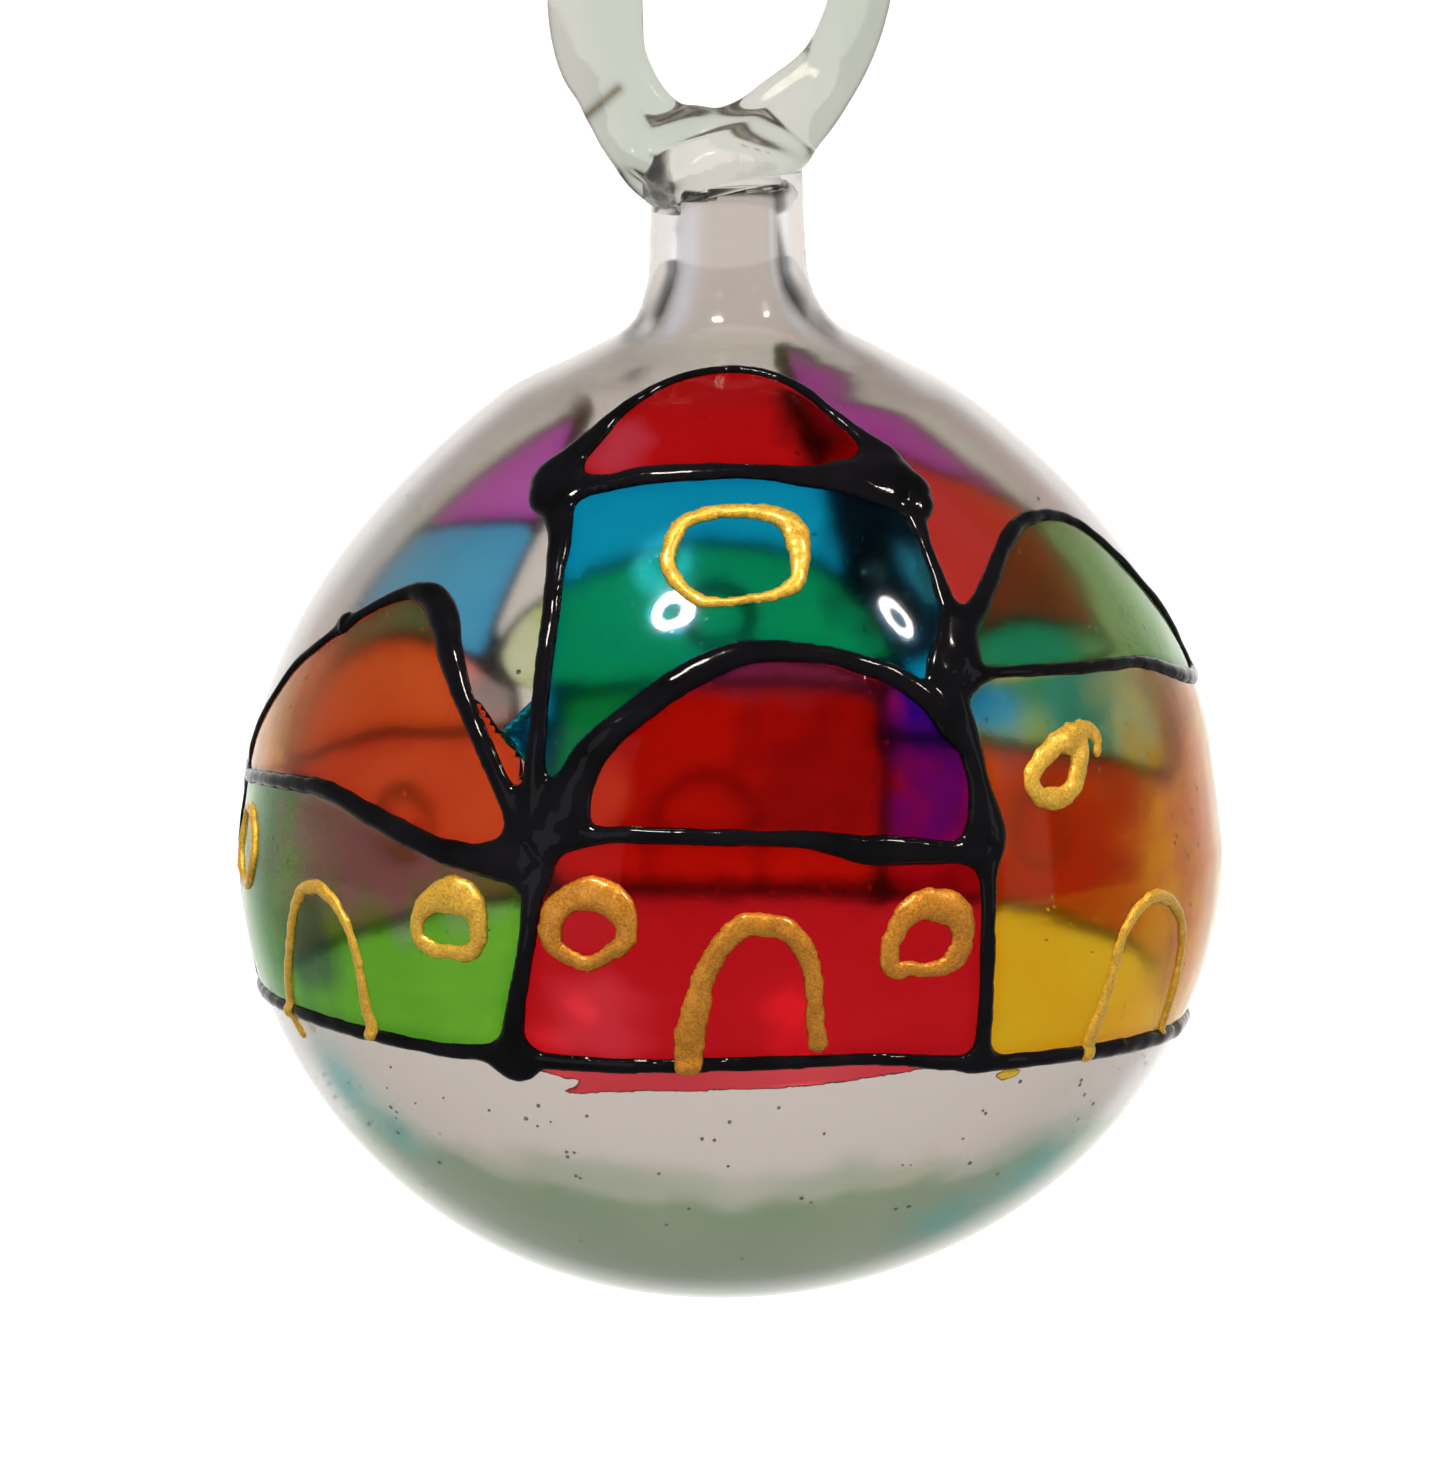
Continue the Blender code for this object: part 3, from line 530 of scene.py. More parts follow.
def film_material(name, thin, deep, washes, seed):
    """Glass paint: brushed on in streaks, deeper where it pooled, with washes of other colours."""
    shader = Shader(name, Roughness=0.08, IOR=1.42, Transmission_Weight=1.0)
    shader.surface.inputs["Specular Tint"].default_value = (0.12, 0.12, 0.12, 1)
    shader.surface.inputs["Coat Weight"].default_value = 0.15
    shader.surface.inputs["Coat Roughness"].default_value = 0.02
    streaks = shader.noise(95.0 + seed, 4.0, (0.6, 0.6, 1.6), 0.6, 0.4)
    clouds = shader.noise(38.0 + seed, 2.0)
    brushed, cloudy = shader.ramp(streaks, 0.3, 0.75, 0, 0.6), shader.ramp(clouds, 0.35, 0.7, 0, 0.4)
    amount = shader.maths("ADD", brushed, cloudy)
    pooled = shader.maths("ADD", amount, shader.mark("pool"))
    colour = shader.mix(shader.ramp(pooled, 0.0, 1.25), thin, deep)
    for k, wash in enumerate(washes):
        uneven = shader.ramp(streaks, 0.2, 0.7, 0.7, 1.15)
        cover = shader.maths("MULTIPLY", shader.mark(f"wash_{k}"), uneven)
        colour = shader.mix(shader.ramp(cover, 0.0, 1.0), colour, wash[0])
    shader.link(colour, "Base Color")
    specks = shader.add("ShaderNodeTexVoronoi", {"Vector": shader.place, "Scale": 620.0 + seed})
    raised = shader.ramp(specks.outputs["Distance"], 0.05, 0.13, 1.0, 0.0)
    ripples = shader.noise(220.0, 3.0, (0.6, 0.6, 1.6))
    shader.bump(shader.maths("ADD", ripples, shader.maths("MULTIPLY", raised, 0.8)), 0.3, 0.00006)
    return shader.material


def black_material():
    shader = Shader("black_contour_paste", IOR=1.3)
    tone = shader.ramp(shader.noise(160.0, 4.0), 0.35, 0.7)
    shader.link(shader.mix(tone, (0.003, 0.003, 0.0035), (0.007, 0.0065, 0.009)), "Base Color")
    shader.link(shader.ramp(shader.noise(320.0, 3.0), 0.3, 0.75, 0.05, 0.14), "Roughness")
    fine = shader.maths("MULTIPLY", shader.noise(1800.0, 2.0), 0.25)
    shader.bump(shader.maths("ADD", shader.noise(380.0, 3.0), fine), 0.3, 0.00012)
    return shader.material


def gold_material(name, bright, dark):
    """Contour paste full of metal flakes, each tilted its own way."""
    shader = Shader(name, Metallic=0.4, IOR=1.5)
    shader.surface.inputs["Coat Weight"].default_value = 0.6
    shader.surface.inputs["Coat Roughness"].default_value = 0.1
    flakes = shader.add("ShaderNodeTexVoronoi", {"Vector": shader.place, "Scale": 8500.0})
    tone = shader.add("ShaderNodeSeparateColor", {"Color": flakes.outputs["Color"]}).outputs[0]
    clouds = shader.noise(420.0, 4.0)
    glint, cloud = shader.maths("MULTIPLY", tone, 0.55), shader.maths("MULTIPLY", clouds, 0.6)
    mixed = shader.maths("ADD", glint, cloud)
    shader.link(shader.mix(shader.ramp(mixed, 0.25, 0.85), dark, bright), "Base Color")
    shader.link(shader.ramp(tone, 0.0, 1.0, 0.3, 0.5), "Roughness")
    height = shader.maths("ADD", shader.maths("MULTIPLY", tone, 0.3), shader.noise(700.0, 4.0))
    shader.bump(height, 0.8, 0.00013)
    return shader.material


# ---------------------------------------------------------------- blown glass


def lathe(outer, inner, segments):
    """A closed shell between two (radius, height) profiles, each from the bottom up."""
    mesh = bmesh.new()
    turns = np.arange(segments) * 2 * math.pi / segments
    for profile, inside in ((outer, False), (inner, True)):
        rings = []
        for radius, height in profile[1:]:
            reach = radius * swell(turns, height)
            side, z = float(lean(height)), EQUATOR_Z + height
            rings.append([
                mesh.verts.new(Vector((r * math.sin(t) + side, -r * math.cos(t), z)) * MM)
                for r, t in zip(reach, turns)
            ])
        bottom, ceiling = profile[0][1], profile[-1][1]
        foot = mesh.verts.new(Vector((float(lean(bottom)), 0, EQUATOR_Z + bottom)) * MM)
        crown = mesh.verts.new(Vector((float(lean(ceiling)), 0, EQUATOR_Z + ceiling + 0.05)) * MM)
        for k in range(segments):
            following = (k + 1) % segments
            faces = [
                (rings[0][k], foot, rings[0][following]), (rings[-1][k], rings[-1][following], crown),
            ]
            for low, high in zip(rings, rings[1:]):
                faces.append((low[k], low[following], high[following], high[k]))
            for face in faces:
                mesh.faces.new(face[::-1] if inside else face)
    return mesh


def globe_profile(top, count):
    """(radius, height) points that step evenly up the outside of the globe and neck."""
    below = -BOWL_DEPTH * np.cos(np.linspace(0, math.pi / 2, 600))[:-1]
    fine = np.concatenate([below, np.linspace(0, top, 900)])
    side = np.column_stack([radius_at(fine), fine])
    along = travelled(side)
    at = np.linspace(0, along[-1], count)
    return np.column_stack([np.interp(at, along, column) for column in side.T])


def hollow_profile(outer, top):
    """The outer profile set inwards by the wall, thick in the neck and domed shut at the top."""
    step = np.gradient(outer, axis=0)
    step /= np.linalg.norm(step, axis=1)[:, None]
    inwards = np.column_stack([-step[:, 1], step[:, 0]])
    inwards[0] = (0, 1)
    wall = np.interp(outer[:, 1], [36.5, 41], [WALL, NECK_WALL])
    side = outer + inwards * wall[:, None]
    side = side[side[:, 1] < top]
    turns = np.linspace(0, math.pi / 2, 9)[1:-1]
    radius, start = side[-1]
    return np.vstack([side, np.column_stack([radius * np.cos(turns), start + 2.4 * np.sin(turns)])])


def make_object(name, mesh, material):
    data = bpy.data.meshes.new(name)
    mesh.to_mesh(data)
    mesh.free()
    data.materials.append(material)
    obj = bpy.data.objects.new(name, data)
    bpy.context.scene.collection.objects.link(obj)
    return obj


def bake(obj):
    """The object with its modifiers applied."""
    graph = bpy.context.evaluated_depsgraph_get()
    mesh = bpy.data.meshes.new_from_object(obj.evaluated_get(graph))
    obj.modifiers.clear()
    obj.data = mesh
    return obj


# Rods of the loop: (x, y, z, radius). The ring's right end sweeps down over the neck's front.
RING_ROD = [
    (-9.3, -0.3, -13.9, 2.0), (-9.9, -0.2, -12.8, 2.15), (-10.4, 0, -11.3, 2.2),
    (-10.75, 0, -9.3, 2.2), (-10.8, 0, -7, 2.2), (-10.4, 0, -4.2, 2.15), (-9, 0, -1.4, 2.1),
    (-6.6, 0, 0.6, 2.05), (-3.4, 0, 1.8, 2.0), (0, 0, 2.0, 1.95), (3.6, 0, 1.5, 1.95),
    (6.8, 0, -0.6, 2.0), (8.8, 0, -3.6, 2.1), (9.2, 0, -6.4, 2.15), (8.7, 0, -9.0, 2.2),
    (7.8, -0.1, -11.4, 2.25), (6.7, -0.5, -13.7, 2.15), (4.6, -1.6, -16.2, 2.4),
    (1.8, -2.8, -18.2, 2.35), (-1.6, -3.5, -19.6, 2.2), (-4.2, -3.0, -20.8, 1.8),
]
SADDLE_ROD = [
    (-7.6, 0, -1.6, 1.2), (-7.9, 0, -4.5, 1.55), (-7.95, -0.2, -8, 1.68), (-7.8, -0.6, -11.5, 1.7),
    (-7.0, -1.1, -13.6, 1.65), (-5.8, -1.6, -15.4, 1.6), (-4.2, -2.0, -16.7, 1.6),
    (-2.5, -2.2, -17.0, 1.65), (-0.8, -2.2, -17.0, 1.5), (1.2, -2.0, -16.1, 1.35),
    (3.0, -1.6, -14.6, 1.2), (4.7, -1.1, -13.2, 1.05), (6.2, -0.6, -11.8, 0.95),
]
FLANK_ROD = [
    (-8.6, 0, -15.6, 1.9), (-7.3, -0.4, -17.4, 2.0), (-6.1, -0.9, -19.6, 1.9),
    (-4.9, -1.5, -21.2, 1.5),
]
FOLD_ROD = [
    (-7.6, -1.6, -17.2, 0.5), (-6.8, -2.9, -19.2, 0.6), (-4.8, -4.6, -20.4, 0.6),
    (-2.8, -5.4, -19.8, 0.5),
]
# Rounded lumps that make the gather round the neck's end: centre, then half sizes.
GATHER_LUMPS = [((-1.6, 0, -18.0), (6.6, 3.2, 1.9)), ((-0.5, 0, -19.4), (5.6, 5.4, 1.6))]


class Melt:
    """Soft glass as a field in a box of points, above zero inside. Shapes run together."""

    def __init__(self, low, high, step):
        self.step = step
        self.low = np.array(low, float)
        self.axes = [np.arange(a, b, step) for a, b in zip(low, high)]
        self.field = np.full([len(axis) for axis in self.axes], FAR_OUTSIDE)

    def window(self, centre, reach):
        spans = []
        for axis, middle in zip(self.axes, centre):
            first, last = np.searchsorted(axis, (middle - reach, middle + reach))
            spans.append(slice(first, last))
        x, y, z = (axis[span] for axis, span in zip(self.axes, spans))
        return tuple(spans), (x[:, None, None], y[None, :, None], z[None, None, :])

    def add_rod(self, points, blend):
        rod = np.full(self.field.shape, FAR_OUTSIDE)
        for cx, cy, cz, radius in smooth(points, 10):
            spans, (x, y, z) = self.window((cx, cy, cz), radius + 2.2)
            value = radius - np.sqrt((x - cx) ** 2 + (y - cy) ** 2 + (z - cz) ** 2)
            rod[spans] = np.maximum(rod[spans], value)
        self.field = merge(self.field, rod, blend)

    def add_lump(self, centre, half, blend):
        _, axes = self.window(centre, 99)
        parts = [((axis - middle) / size) ** 2 for axis, middle, size in zip(axes, centre, half)]
        far = np.sqrt(sum(parts))
        self.field = merge(self.field, (1 - far) * min(half), blend)

    def mesh(self):
        """The surface at zero: one point for each crossed cell, one face for each crossed edge."""
        field, cells = self.field, np.array(self.field.shape) - 1
        total, count = np.zeros((*cells, 3)), np.zeros(cells)
        for axis in range(3):
            others = [k for k in range(3) if k != axis]
            for corner in ((0, 0), (0, 1), (1, 0), (1, 1)):
                start = np.zeros(3, int)
                start[others] = corner
                end = start.copy()
                end[axis] = 1
                low = field[tuple(slice(a, a + n) for a, n in zip(start, cells))]
                high = field[tuple(slice(a, a + n) for a, n in zip(end, cells))]
                crossed = (low > 0) != (high > 0)
                share = np.where(crossed, low / np.where(crossed, low - high, 1), 0)
                for k in range(3):
                    total[..., k] += crossed * (share if k == axis else start[k])
                count += crossed
        filled = count > 0
        number = np.full(cells, -1)
        number[filled] = np.arange(filled.sum())
        verts = self.low + self.step * (np.argwhere(filled) + total[filled] / count[filled][:, None])
        faces = []
        solid = field > 0
        for axis in range(3):
            turned = np.moveaxis(solid, (axis, (axis + 1) % 3, (axis + 2) % 3), (0, 1, 2))
            ids = np.moveaxis(number, (axis, (axis + 1) % 3, (axis + 2) % 3), (0, 1, 2))
            low, high = turned[:-1, 1:-1, 1:-1], turned[1:, 1:-1, 1:-1]
            around = np.stack([ids[:, :-1, :-1], ids[:, 1:, :-1], ids[:, 1:, 1:], ids[:, :-1, 1:]], -1)
            faces += around[low & ~high].tolist() + around[high & ~low][:, ::-1].tolist()
        mesh = bpy.data.meshes.new("melt")
        mesh.from_pydata((verts * MM).tolist(), [], faces)
        return mesh


def make_loop(materials):
    melt = Melt((-14, -7.2, -24.6), (12.6, 7.2, 4.9), 0.25)
    melt.add_rod(RING_ROD, 0.4)
    melt.add_rod(FLANK_ROD, 0.8)
    for centre, half in GATHER_LUMPS:
        melt.add_lump(centre, half, 1.0)
    melt.add_rod(SADDLE_ROD, 0.7)
    melt.add_rod(FOLD_ROD, 0.7)
    loop = bpy.data.objects.new("loop_form", melt.mesh())
    bpy.context.scene.collection.objects.link(loop)
    for material in materials:
        loop.data.materials.append(material)
    loop.data.polygons.foreach_set("material_index", [1] * len(loop.data.polygons))
    soft = loop.modifiers.new("soft", "SMOOTH")
    soft.factor = 0.5
    soft.iterations = 4
    return bake(loop)


def add_seeds(mesh, count=120):
    """Tiny air bubbles in the wall of the globe, faces turned into the air."""
    random = np.random.default_rng(4)
    for _ in range(count):
        height = float(random.uniform(-29, 30))
        longitude = float(random.uniform(0, 360))
        if random.random() < 0.6:
            height = float(random.uniform(-24, -12))
            longitude = float(random.uniform(-70, 70))
        point, outward = surface(longitude, height)
        centre = (point - outward * random.uniform(0.4, 0.5)) * MM
        made = bmesh.ops.create_icosphere(
            mesh, subdivisions=1, radius=random.uniform(0.09, 0.2) * MM,
            matrix=Matrix.Translation(Vector(centre)),
        )
        faces = {face for vert in made["verts"] for face in vert.link_faces}
        bmesh.ops.reverse_faces(mesh, faces=list(faces))


# Stains in the glass and painted shade: (longitude, height, half sizes) of each soft spot.
CYAN_SPOTS = [(-60, -14.8, 3.4), (-52, -18, 2.2), (52, -20.5, 3.2), (40, -24, 3.0)]
# Painted shade: dark spots round the neck's foot, where the glass looks dark.
PAINTED_SHADE_SPOTS = [(-72, 37.4, (0.9, 0.9, 1.2)), (68, 37.2, (0.9, 0.9, 1.2)), (-35, 34.4, (0.9, 0.9, 1.2))]
NECK_WINDOW_REFLECTIONS = [(-40, 9), (45, 4)]  # painted reflections of the side windows, pale vertical bands on the neck: longitude, half width in degrees
SEAM_ENDS = np.array([-10.3, 0, -16.2]), np.array([-8.0, 0, -14.2])


def spots(points, places):
    """Soft spots, one in the middle of each place and fading outwards."""
    total = np.zeros(len(points))
    for longitude, height, size in places:
        total += np.exp(-(((points - surface(longitude, height)[0]) / size) ** 2).sum(1))
    return total


def mark_glass(mesh):
    """Marks on the points: the loop's brown seam, the thick greenish bottom, the cyan stains, painted
    shade as dark spots at the neck's foot and painted reflections of the side windows as pale bands on
    the neck.
    """
    points = np.empty(len(mesh.vertices) * 3)
    mesh.vertices.foreach_get("co", points)
    points = points.reshape(-1, 3) / MM
    start, end = SEAM_ENDS
    along = end - start
    share = np.clip(((points - start) * (1, 0, 1)) @ along / (along @ along), 0, 1)
    away = np.linalg.norm((points - start - share[:, None] * along) * (1, 0, 1), axis=1)
    lon = np.degrees(np.arctan2(points[:, 0], -points[:, 1]))
    height = points[:, 2] - EQUATOR_Z
    edge = np.interp(np.abs(lon), [0, 30, 60, 85, 115, 180], [-20.9, -20.1, -17.8, -17.6, -25, -29])
    below = edge - height + 0.5 * waves(points, 6.0, 71)
    neck = np.interp(height, [35.2, 37, 45, 47], [0, 1, 1, 0])
    # Painted reflection: pale bands up the neck where the side windows would be mirrored.
    window_reflection_bands = sum(np.exp(-(((lon - at) / wide) ** 2)) for at, wide in NECK_WINDOW_REFLECTIONS)
    marks = {
        "seam": np.exp(-((away / 0.42) ** 2)) * (points[:, 1] < 0.5),
        "thick": below / 0.8 + 0.5,
        "cyan": 0.85 * spots(points, CYAN_SPOTS),
        "streak": window_reflection_bands * neck,
        # Painted shade: dark spots at the neck's foot.
        "painted_shade": spots(points, PAINTED_SHADE_SPOTS),
    }
    for name, values in marks.items():
        layer = mesh.attributes.new(name, "FLOAT", "POINT")
        layer.data.foreach_set("value", np.clip(values, 0, 1))


def make_glass():
    outer = globe_profile(NECK_TOP, RINGS)
    shell = lathe(outer, hollow_profile(outer, HOLLOW_TOP), SEGMENTS)
    materials = [glass_material(), gather_material()]
    globe = make_object("blown_glass_body", shell, materials[0])
    globe.data.materials.append(materials[1])
    loop = make_loop(materials)
    fuse = globe.modifiers.new("fuse", "BOOLEAN")
    fuse.operation = "UNION"
    fuse.solver = "MANIFOLD"
    fuse.object = loop
    bake(globe)
    bpy.data.objects.remove(loop, do_unlink=True)
    mesh = bmesh.new()
    mesh.from_mesh(globe.data)
    add_seeds(mesh)
    for face in mesh.faces:
        face.smooth = True
    mesh.to_mesh(globe.data)
    mesh.free()
    mark_glass(globe.data)
    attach(globe, "root")
    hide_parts("glass_globe", "hanging_loop")
    globe.visible_shadow = False
    lit_by_lamps(globe)


# ---------------------------------------------------------------- paint


LINES = Grid(LINE_STEP)
FILMS = Grid(FILM_STEP)


def black_field(grid):
    field, width = grid.empty(), np.full(grid.shape, 0.5)
    for points in BLACK_STROKES:
        other, wide = grid.stroke(points)
        width = np.where(other > field, wide, width)
        field = merge(field, other, 1.5)
    blobs, wide = grid.empty(), np.full(grid.shape, 0.5)
    for longitude, height, radius in BLACK_BLOBS:
        grid.dab(blobs, wide, longitude, height, radius)
    width = np.where(blobs > field, wide, width)
    field = merge(field, blobs, 1.1)
    field = field + 0.04 + 0.03 * waves(grid.points, 2.6, 3) + 0.012 * waves(grid.points, 0.9, 5)
    return field, width


def bead_height(field, width, most=0.95):
    """A round back: steep at the rim and level over the middle."""
    share = np.clip(field / np.maximum(width, 0.3), 0, 1)
    return most * (1 - np.exp(-width / 0.9)) * np.sqrt(1 - (1 - share) ** 2)


def make_black():
    field, width = black_field(LINES)
    top = 0.06 + bead_height(field, width) * (1 + 0.07 * waves(LINES.points, 3.0, 8))
    bottom = np.full(LINES.shape, 0.02)
    piece = relief("black_contour_net", LINES, field, top, bottom, black_material())
    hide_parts(*[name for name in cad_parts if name.endswith("_line")])
    lit_by_lamps(piece)
    return np.where(field > 0, top, 0.0)


# Gold outlines: (longitude, height, half width).
GOLD_STROKES = {
    "tower_window": [
        (-9.9, 23.2, 0.58), (-8.7, 25.1, 0.6), (-6.1, 25.7, 0.57), (-2.9, 26, 0.56), (0.9, 26.1, 0.6),
        (4.2, 26, 0.68), (7.3, 25.7, 0.8), (9.2, 25, 0.95), (9.7, 23.9, 0.85), (9.5, 22.6, 0.62),
        (8.6, 21.6, 0.6), (5.7, 20.9, 0.42), (1.5, 20.6, 0.37), (-1.9, 20.4, 0.38),
        (-4.8, 20.6, 0.46), (-8.2, 21.7, 0.52), (-9.9, 23.2, 0.58),
    ],
    "right_window": [
        (43.9, 10.8, 1.05), (40.8, 10.4, 0.8), (38.3, 9.6, 0.72), (36.4, 8.5, 0.68), (36.9, 7.4, 0.66),
        (39, 6.9, 0.78), (41.6, 7.2, 0.7), (43.4, 8.3, 0.72), (44.3, 9.7, 0.85), (44.6, 10.9, 0.95),
        (46.5, 11.1, 0.68), (47.7, 10.5, 0.5), (47.4, 9.6, 0.35),
    ],
    "centre_left_window": [
        (-20.3, -1.2, 0.85), (-19.7, 0.2, 0.92), (-17.8, 1.2, 1.0), (-15.4, 1.5, 1.2),
        (-13, 1, 1.15), (-11.6, -0.3, 0.86), (-12, -1.7, 0.72), (-13.9, -2.6, 0.56),
        (-16, -3.2, 0.56), (-18.3, -2.7, 0.57), (-19.8, -2.1, 0.68), (-20.3, -1.2, 0.85),
    ],
    "centre_right_window": [
        (17.5, -2.3, 0.68), (17.9, -1.3, 0.72), (19.1, -0.1, 0.85), (21.1, 0.6, 1.05),
        (23.5, 0.5, 1.2), (25.4, -0.1, 1.1), (26.1, -1.4, 0.9), (25.7, -2.7, 0.83),
        (24.6, -3.5, 0.7), (22.2, -3.8, 0.54), (19.8, -3.6, 0.57), (18, -3.6, 0.72), (17.5, -2.3, 0.68),
    ],
    "left_window": [
        (-37.5, -1.6, 0.58), (-36.8, -0.5, 0.68), (-35, 0.4, 0.98), (-32.6, 0.8, 1.3),
        (-30.3, 0.4, 1.12), (-29.2, -0.8, 0.8), (-29.2, -2.3, 0.62), (-30.8, -3.1, 0.6),
        (-33.1, -3.1, 0.52), (-35.3, -3.1, 0.57), (-37.1, -2.5, 0.52), (-37.5, -1.6, 0.58),
    ],
    "left_end_window": [
        (-80.5, 3.2, 0.4), (-77, 3.4, 0.5), (-74.2, 2.2, 0.5), (-73, 0.3, 0.5), (-74.9, -1.4, 0.45),
        (-78.6, -1.6, 0.45), (-81.6, 0.6, 0.5), (-80.5, 3.2, 0.4),
    ],
    "centre_door": [
        (-4.7, -10.0, 0.95), (-4.5, -8.1, 1.05), (-3.9, -6.3, 0.95), (-3.2, -4.3, 0.82),
        (-2.1, -2.7, 0.78), (-0.6, -1.3, 0.78), (1.3, -0.4, 0.78), (3.4, -0.3, 0.8),
        (5.6, -0.6, 0.8), (7.4, -1.5, 0.76), (8.5, -2.8, 0.7), (9.2, -4.5, 0.64),
        (9.4, -6.4, 0.64), (10.1, -8.6, 0.66),
    ],
    "left_door": [
        (-64.8, -11.3, 0.4), (-65.6, -9.8, 0.48), (-63.9, -7.3, 0.46), (-61.6, -4.7, 0.44),
        (-59.7, -2.1, 0.46), (-57.7, -0.6, 0.5), (-55, -0.1, 0.53), (-52.1, -0.5, 0.52),
        (-49.5, -1.7, 0.45), (-47.8, -3.4, 0.42), (-47.2, -5.3, 0.44), (-47.1, -7.5, 0.52),
        (-46.8, -9.6, 0.62),
    ],
    "right_door": [
        (47.3, -11.3, 0.5), (47.7, -9.6, 0.66), (48.2, -7.7, 0.52), (48.8, -5.6, 0.46),
        (49.3, -3.7, 0.44), (50.6, -2.2, 0.46), (52.8, -1.2, 0.48), (56.4, -0.8, 0.5),
        (60.2, -1.6, 0.46), (63.3, -3.3, 0.44), (64.6, -5.5, 0.42), (65.2, -8.3, 0.4), (65.6, -11, 0.4),
    ],
    "back_centre_door": [
        (176, -7.8, 0.7), (177, -2.5, 0.6), (181, -0.2, 0.65), (186, -0.2, 0.65),
        (189.5, -2.5, 0.6), (190.5, -7.8, 0.8),
    ],
    "back_centre_window": [
        (186.6, 12.8, 0.6), (184.5, 14.8, 0.7), (181, 15.0, 0.7), (177.6, 13.2, 0.6),
        (179, 11.0, 0.55), (183.6, 10.6, 0.55), (186.6, 12.8, 0.6),
    ],
    "back_left_window": [
        (230.2, -2.2, 0.6), (228.5, 0.1, 0.75), (225, 0.3, 0.75), (221.8, -1.8, 0.6),
        (223, -4.3, 0.55), (228, -4.5, 0.55), (230.2, -2.2, 0.6),
    ],
    "back_right_window": [
        (141.2, -2.4, 0.6), (139, -0.2, 0.7), (135.6, -0.2, 0.75), (132.8, -2.8, 0.6),
        (134.4, -5.0, 0.55), (139, -4.9, 0.55), (141.2, -2.4, 0.6),
    ],
}
OCHRE = ("centre_left_window", "centre_right_window", "centre_door")


def make_gold(black_top):
    bright = gold_material("bright_gold_paste", (0.98, 0.58, 0.07), (0.6, 0.33, 0.03))
    ochre = gold_material("ochre_gold_paste", (0.78, 0.32, 0.025), (0.46, 0.17, 0.012))
    floor = np.maximum(black_top - 0.05, 0.09)
    for name, points in GOLD_STROKES.items():
        field, width = LINES.stroke(points, 0.8)
        field = field + 0.05 * waves(LINES.points, 1.3, 21) + 0.02 * waves(LINES.points, 0.6, 22)
        lumpy = 1 + 0.12 * waves(LINES.points, 1.6, 23)
        top = floor + 0.04 + bead_height(field, width, 0.75) * lumpy
        paint = ochre if name in OCHRE else bright
        piece = relief(name + "_gold", LINES, field, top, floor, paint)
        lit_by_lamps(piece)
        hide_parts(name)


def knots(points):
    return [tuple(point) for point in smooth([point[:2] for point in points], 3)]


def film_outlines():
    """Each film's outline runs under the middle of the black lines round it."""
    front = {
        "tower_roof_pane": knots(TOWER_EAVE) + knots(TOWER_ROOF)[::-1],
        "tower_wall_pane": [(-22.9, 5.5), (-23.6, 9.5), (-28.6, 11.6), (-24.8, 14.2)]
        + knots(CENTRE_LEFT_WALL[8:]) + knots(TOWER_EAVE) + knots(CENTRE_RIGHT_WALL[:7])
        + knots(CENTRE_DOME)[::-1],
        "centre_dome_pane": knots(CENTRE_EAVE) + knots(CENTRE_RIGHT_WALL[6:10])[::-1]
        + knots(CENTRE_DOME)[::-1],
        "centre_wall_pane": base_span(-26, 30.7) + knots(CENTRE_RIGHT_WALL[9:])[::-1]
        + knots(CENTRE_EAVE)[::-1] + knots(CENTRE_LEFT_WALL[:5])[::-1],
        "left_dome_pane": knots(LEFT_EAVE) + [(-23.0, 6.0), (-24.4, 8.0), (-24.9, 9.8), (-26.4, 11.3),
        (-28.8, 12.0), (-32.2, 13.6)] + knots(LEFT_DOME[:13])[::-1],
        "left_wall_pane": base_span(-92, -26) + knots(CENTRE_LEFT_WALL[:5]) + knots(LEFT_EAVE)[::-1],
        "right_dome_pane": knots(RIGHT_EAVE[:9]) + knots(RIGHT_DOME)[::-1],
        "right_wall_pane": base_span(30.7, 101) + knots(RIGHT_EAVE)[::-1]
        + knots(CENTRE_RIGHT_WALL[6:]),
    }
    back = {
        "back_centre_dome_pane": knots(BACK_CENTRE_EAVE) + [(212.3, 8)]
        + knots(BACK_CENTRE_DOME)[::-1],
        "back_centre_wall_pane": base_span(160, 204) + knots(BACK_CENTRE_EAVE)[::-1],
        "back_left_dome_pane": knots(BACK_LEFT_EAVE[1:4]) + knots(BACK_LEFT_DOME)[::-1],
        "back_left_wall_pane": base_span(204, 268) + knots(BACK_LEFT_EAVE)[::-1],
        "back_left_tower_wall_pane": knots(BACK_LEFT_DOME[1:4]) + knots(BACK_LEFT_TOWER[:4])
        + knots(BACK_LEFT_TOWER_EAVE) + knots(BACK_LEFT_TOWER[11:]),
        "back_left_tower_roof_pane": knots(BACK_LEFT_TOWER[3:12]) + knots(BACK_LEFT_TOWER_EAVE)[::-1],
        "back_right_dome_pane": knots(BACK_RIGHT_EAVE[1:3]) + knots(BACK_RIGHT_DOME)[::-1],
        "back_right_wall_pane": base_span(101, 160) + knots(BACK_RIGHT_EAVE)[::-1],
        "back_right_tower_wall_pane": knots(BACK_RIGHT_DOME[2:5]) + [(158, 9)]
        + knots(BACK_RIGHT_TOWER[11:])[::-1] + knots(BACK_RIGHT_TOWER_EAVE)[::-1]
        + knots(BACK_RIGHT_TOWER[:3])[::-1],
        "back_right_tower_roof_pane": knots(BACK_RIGHT_TOWER_EAVE)
        + knots(BACK_RIGHT_TOWER[2:12])[::-1],
    }
    return {**front, **back}


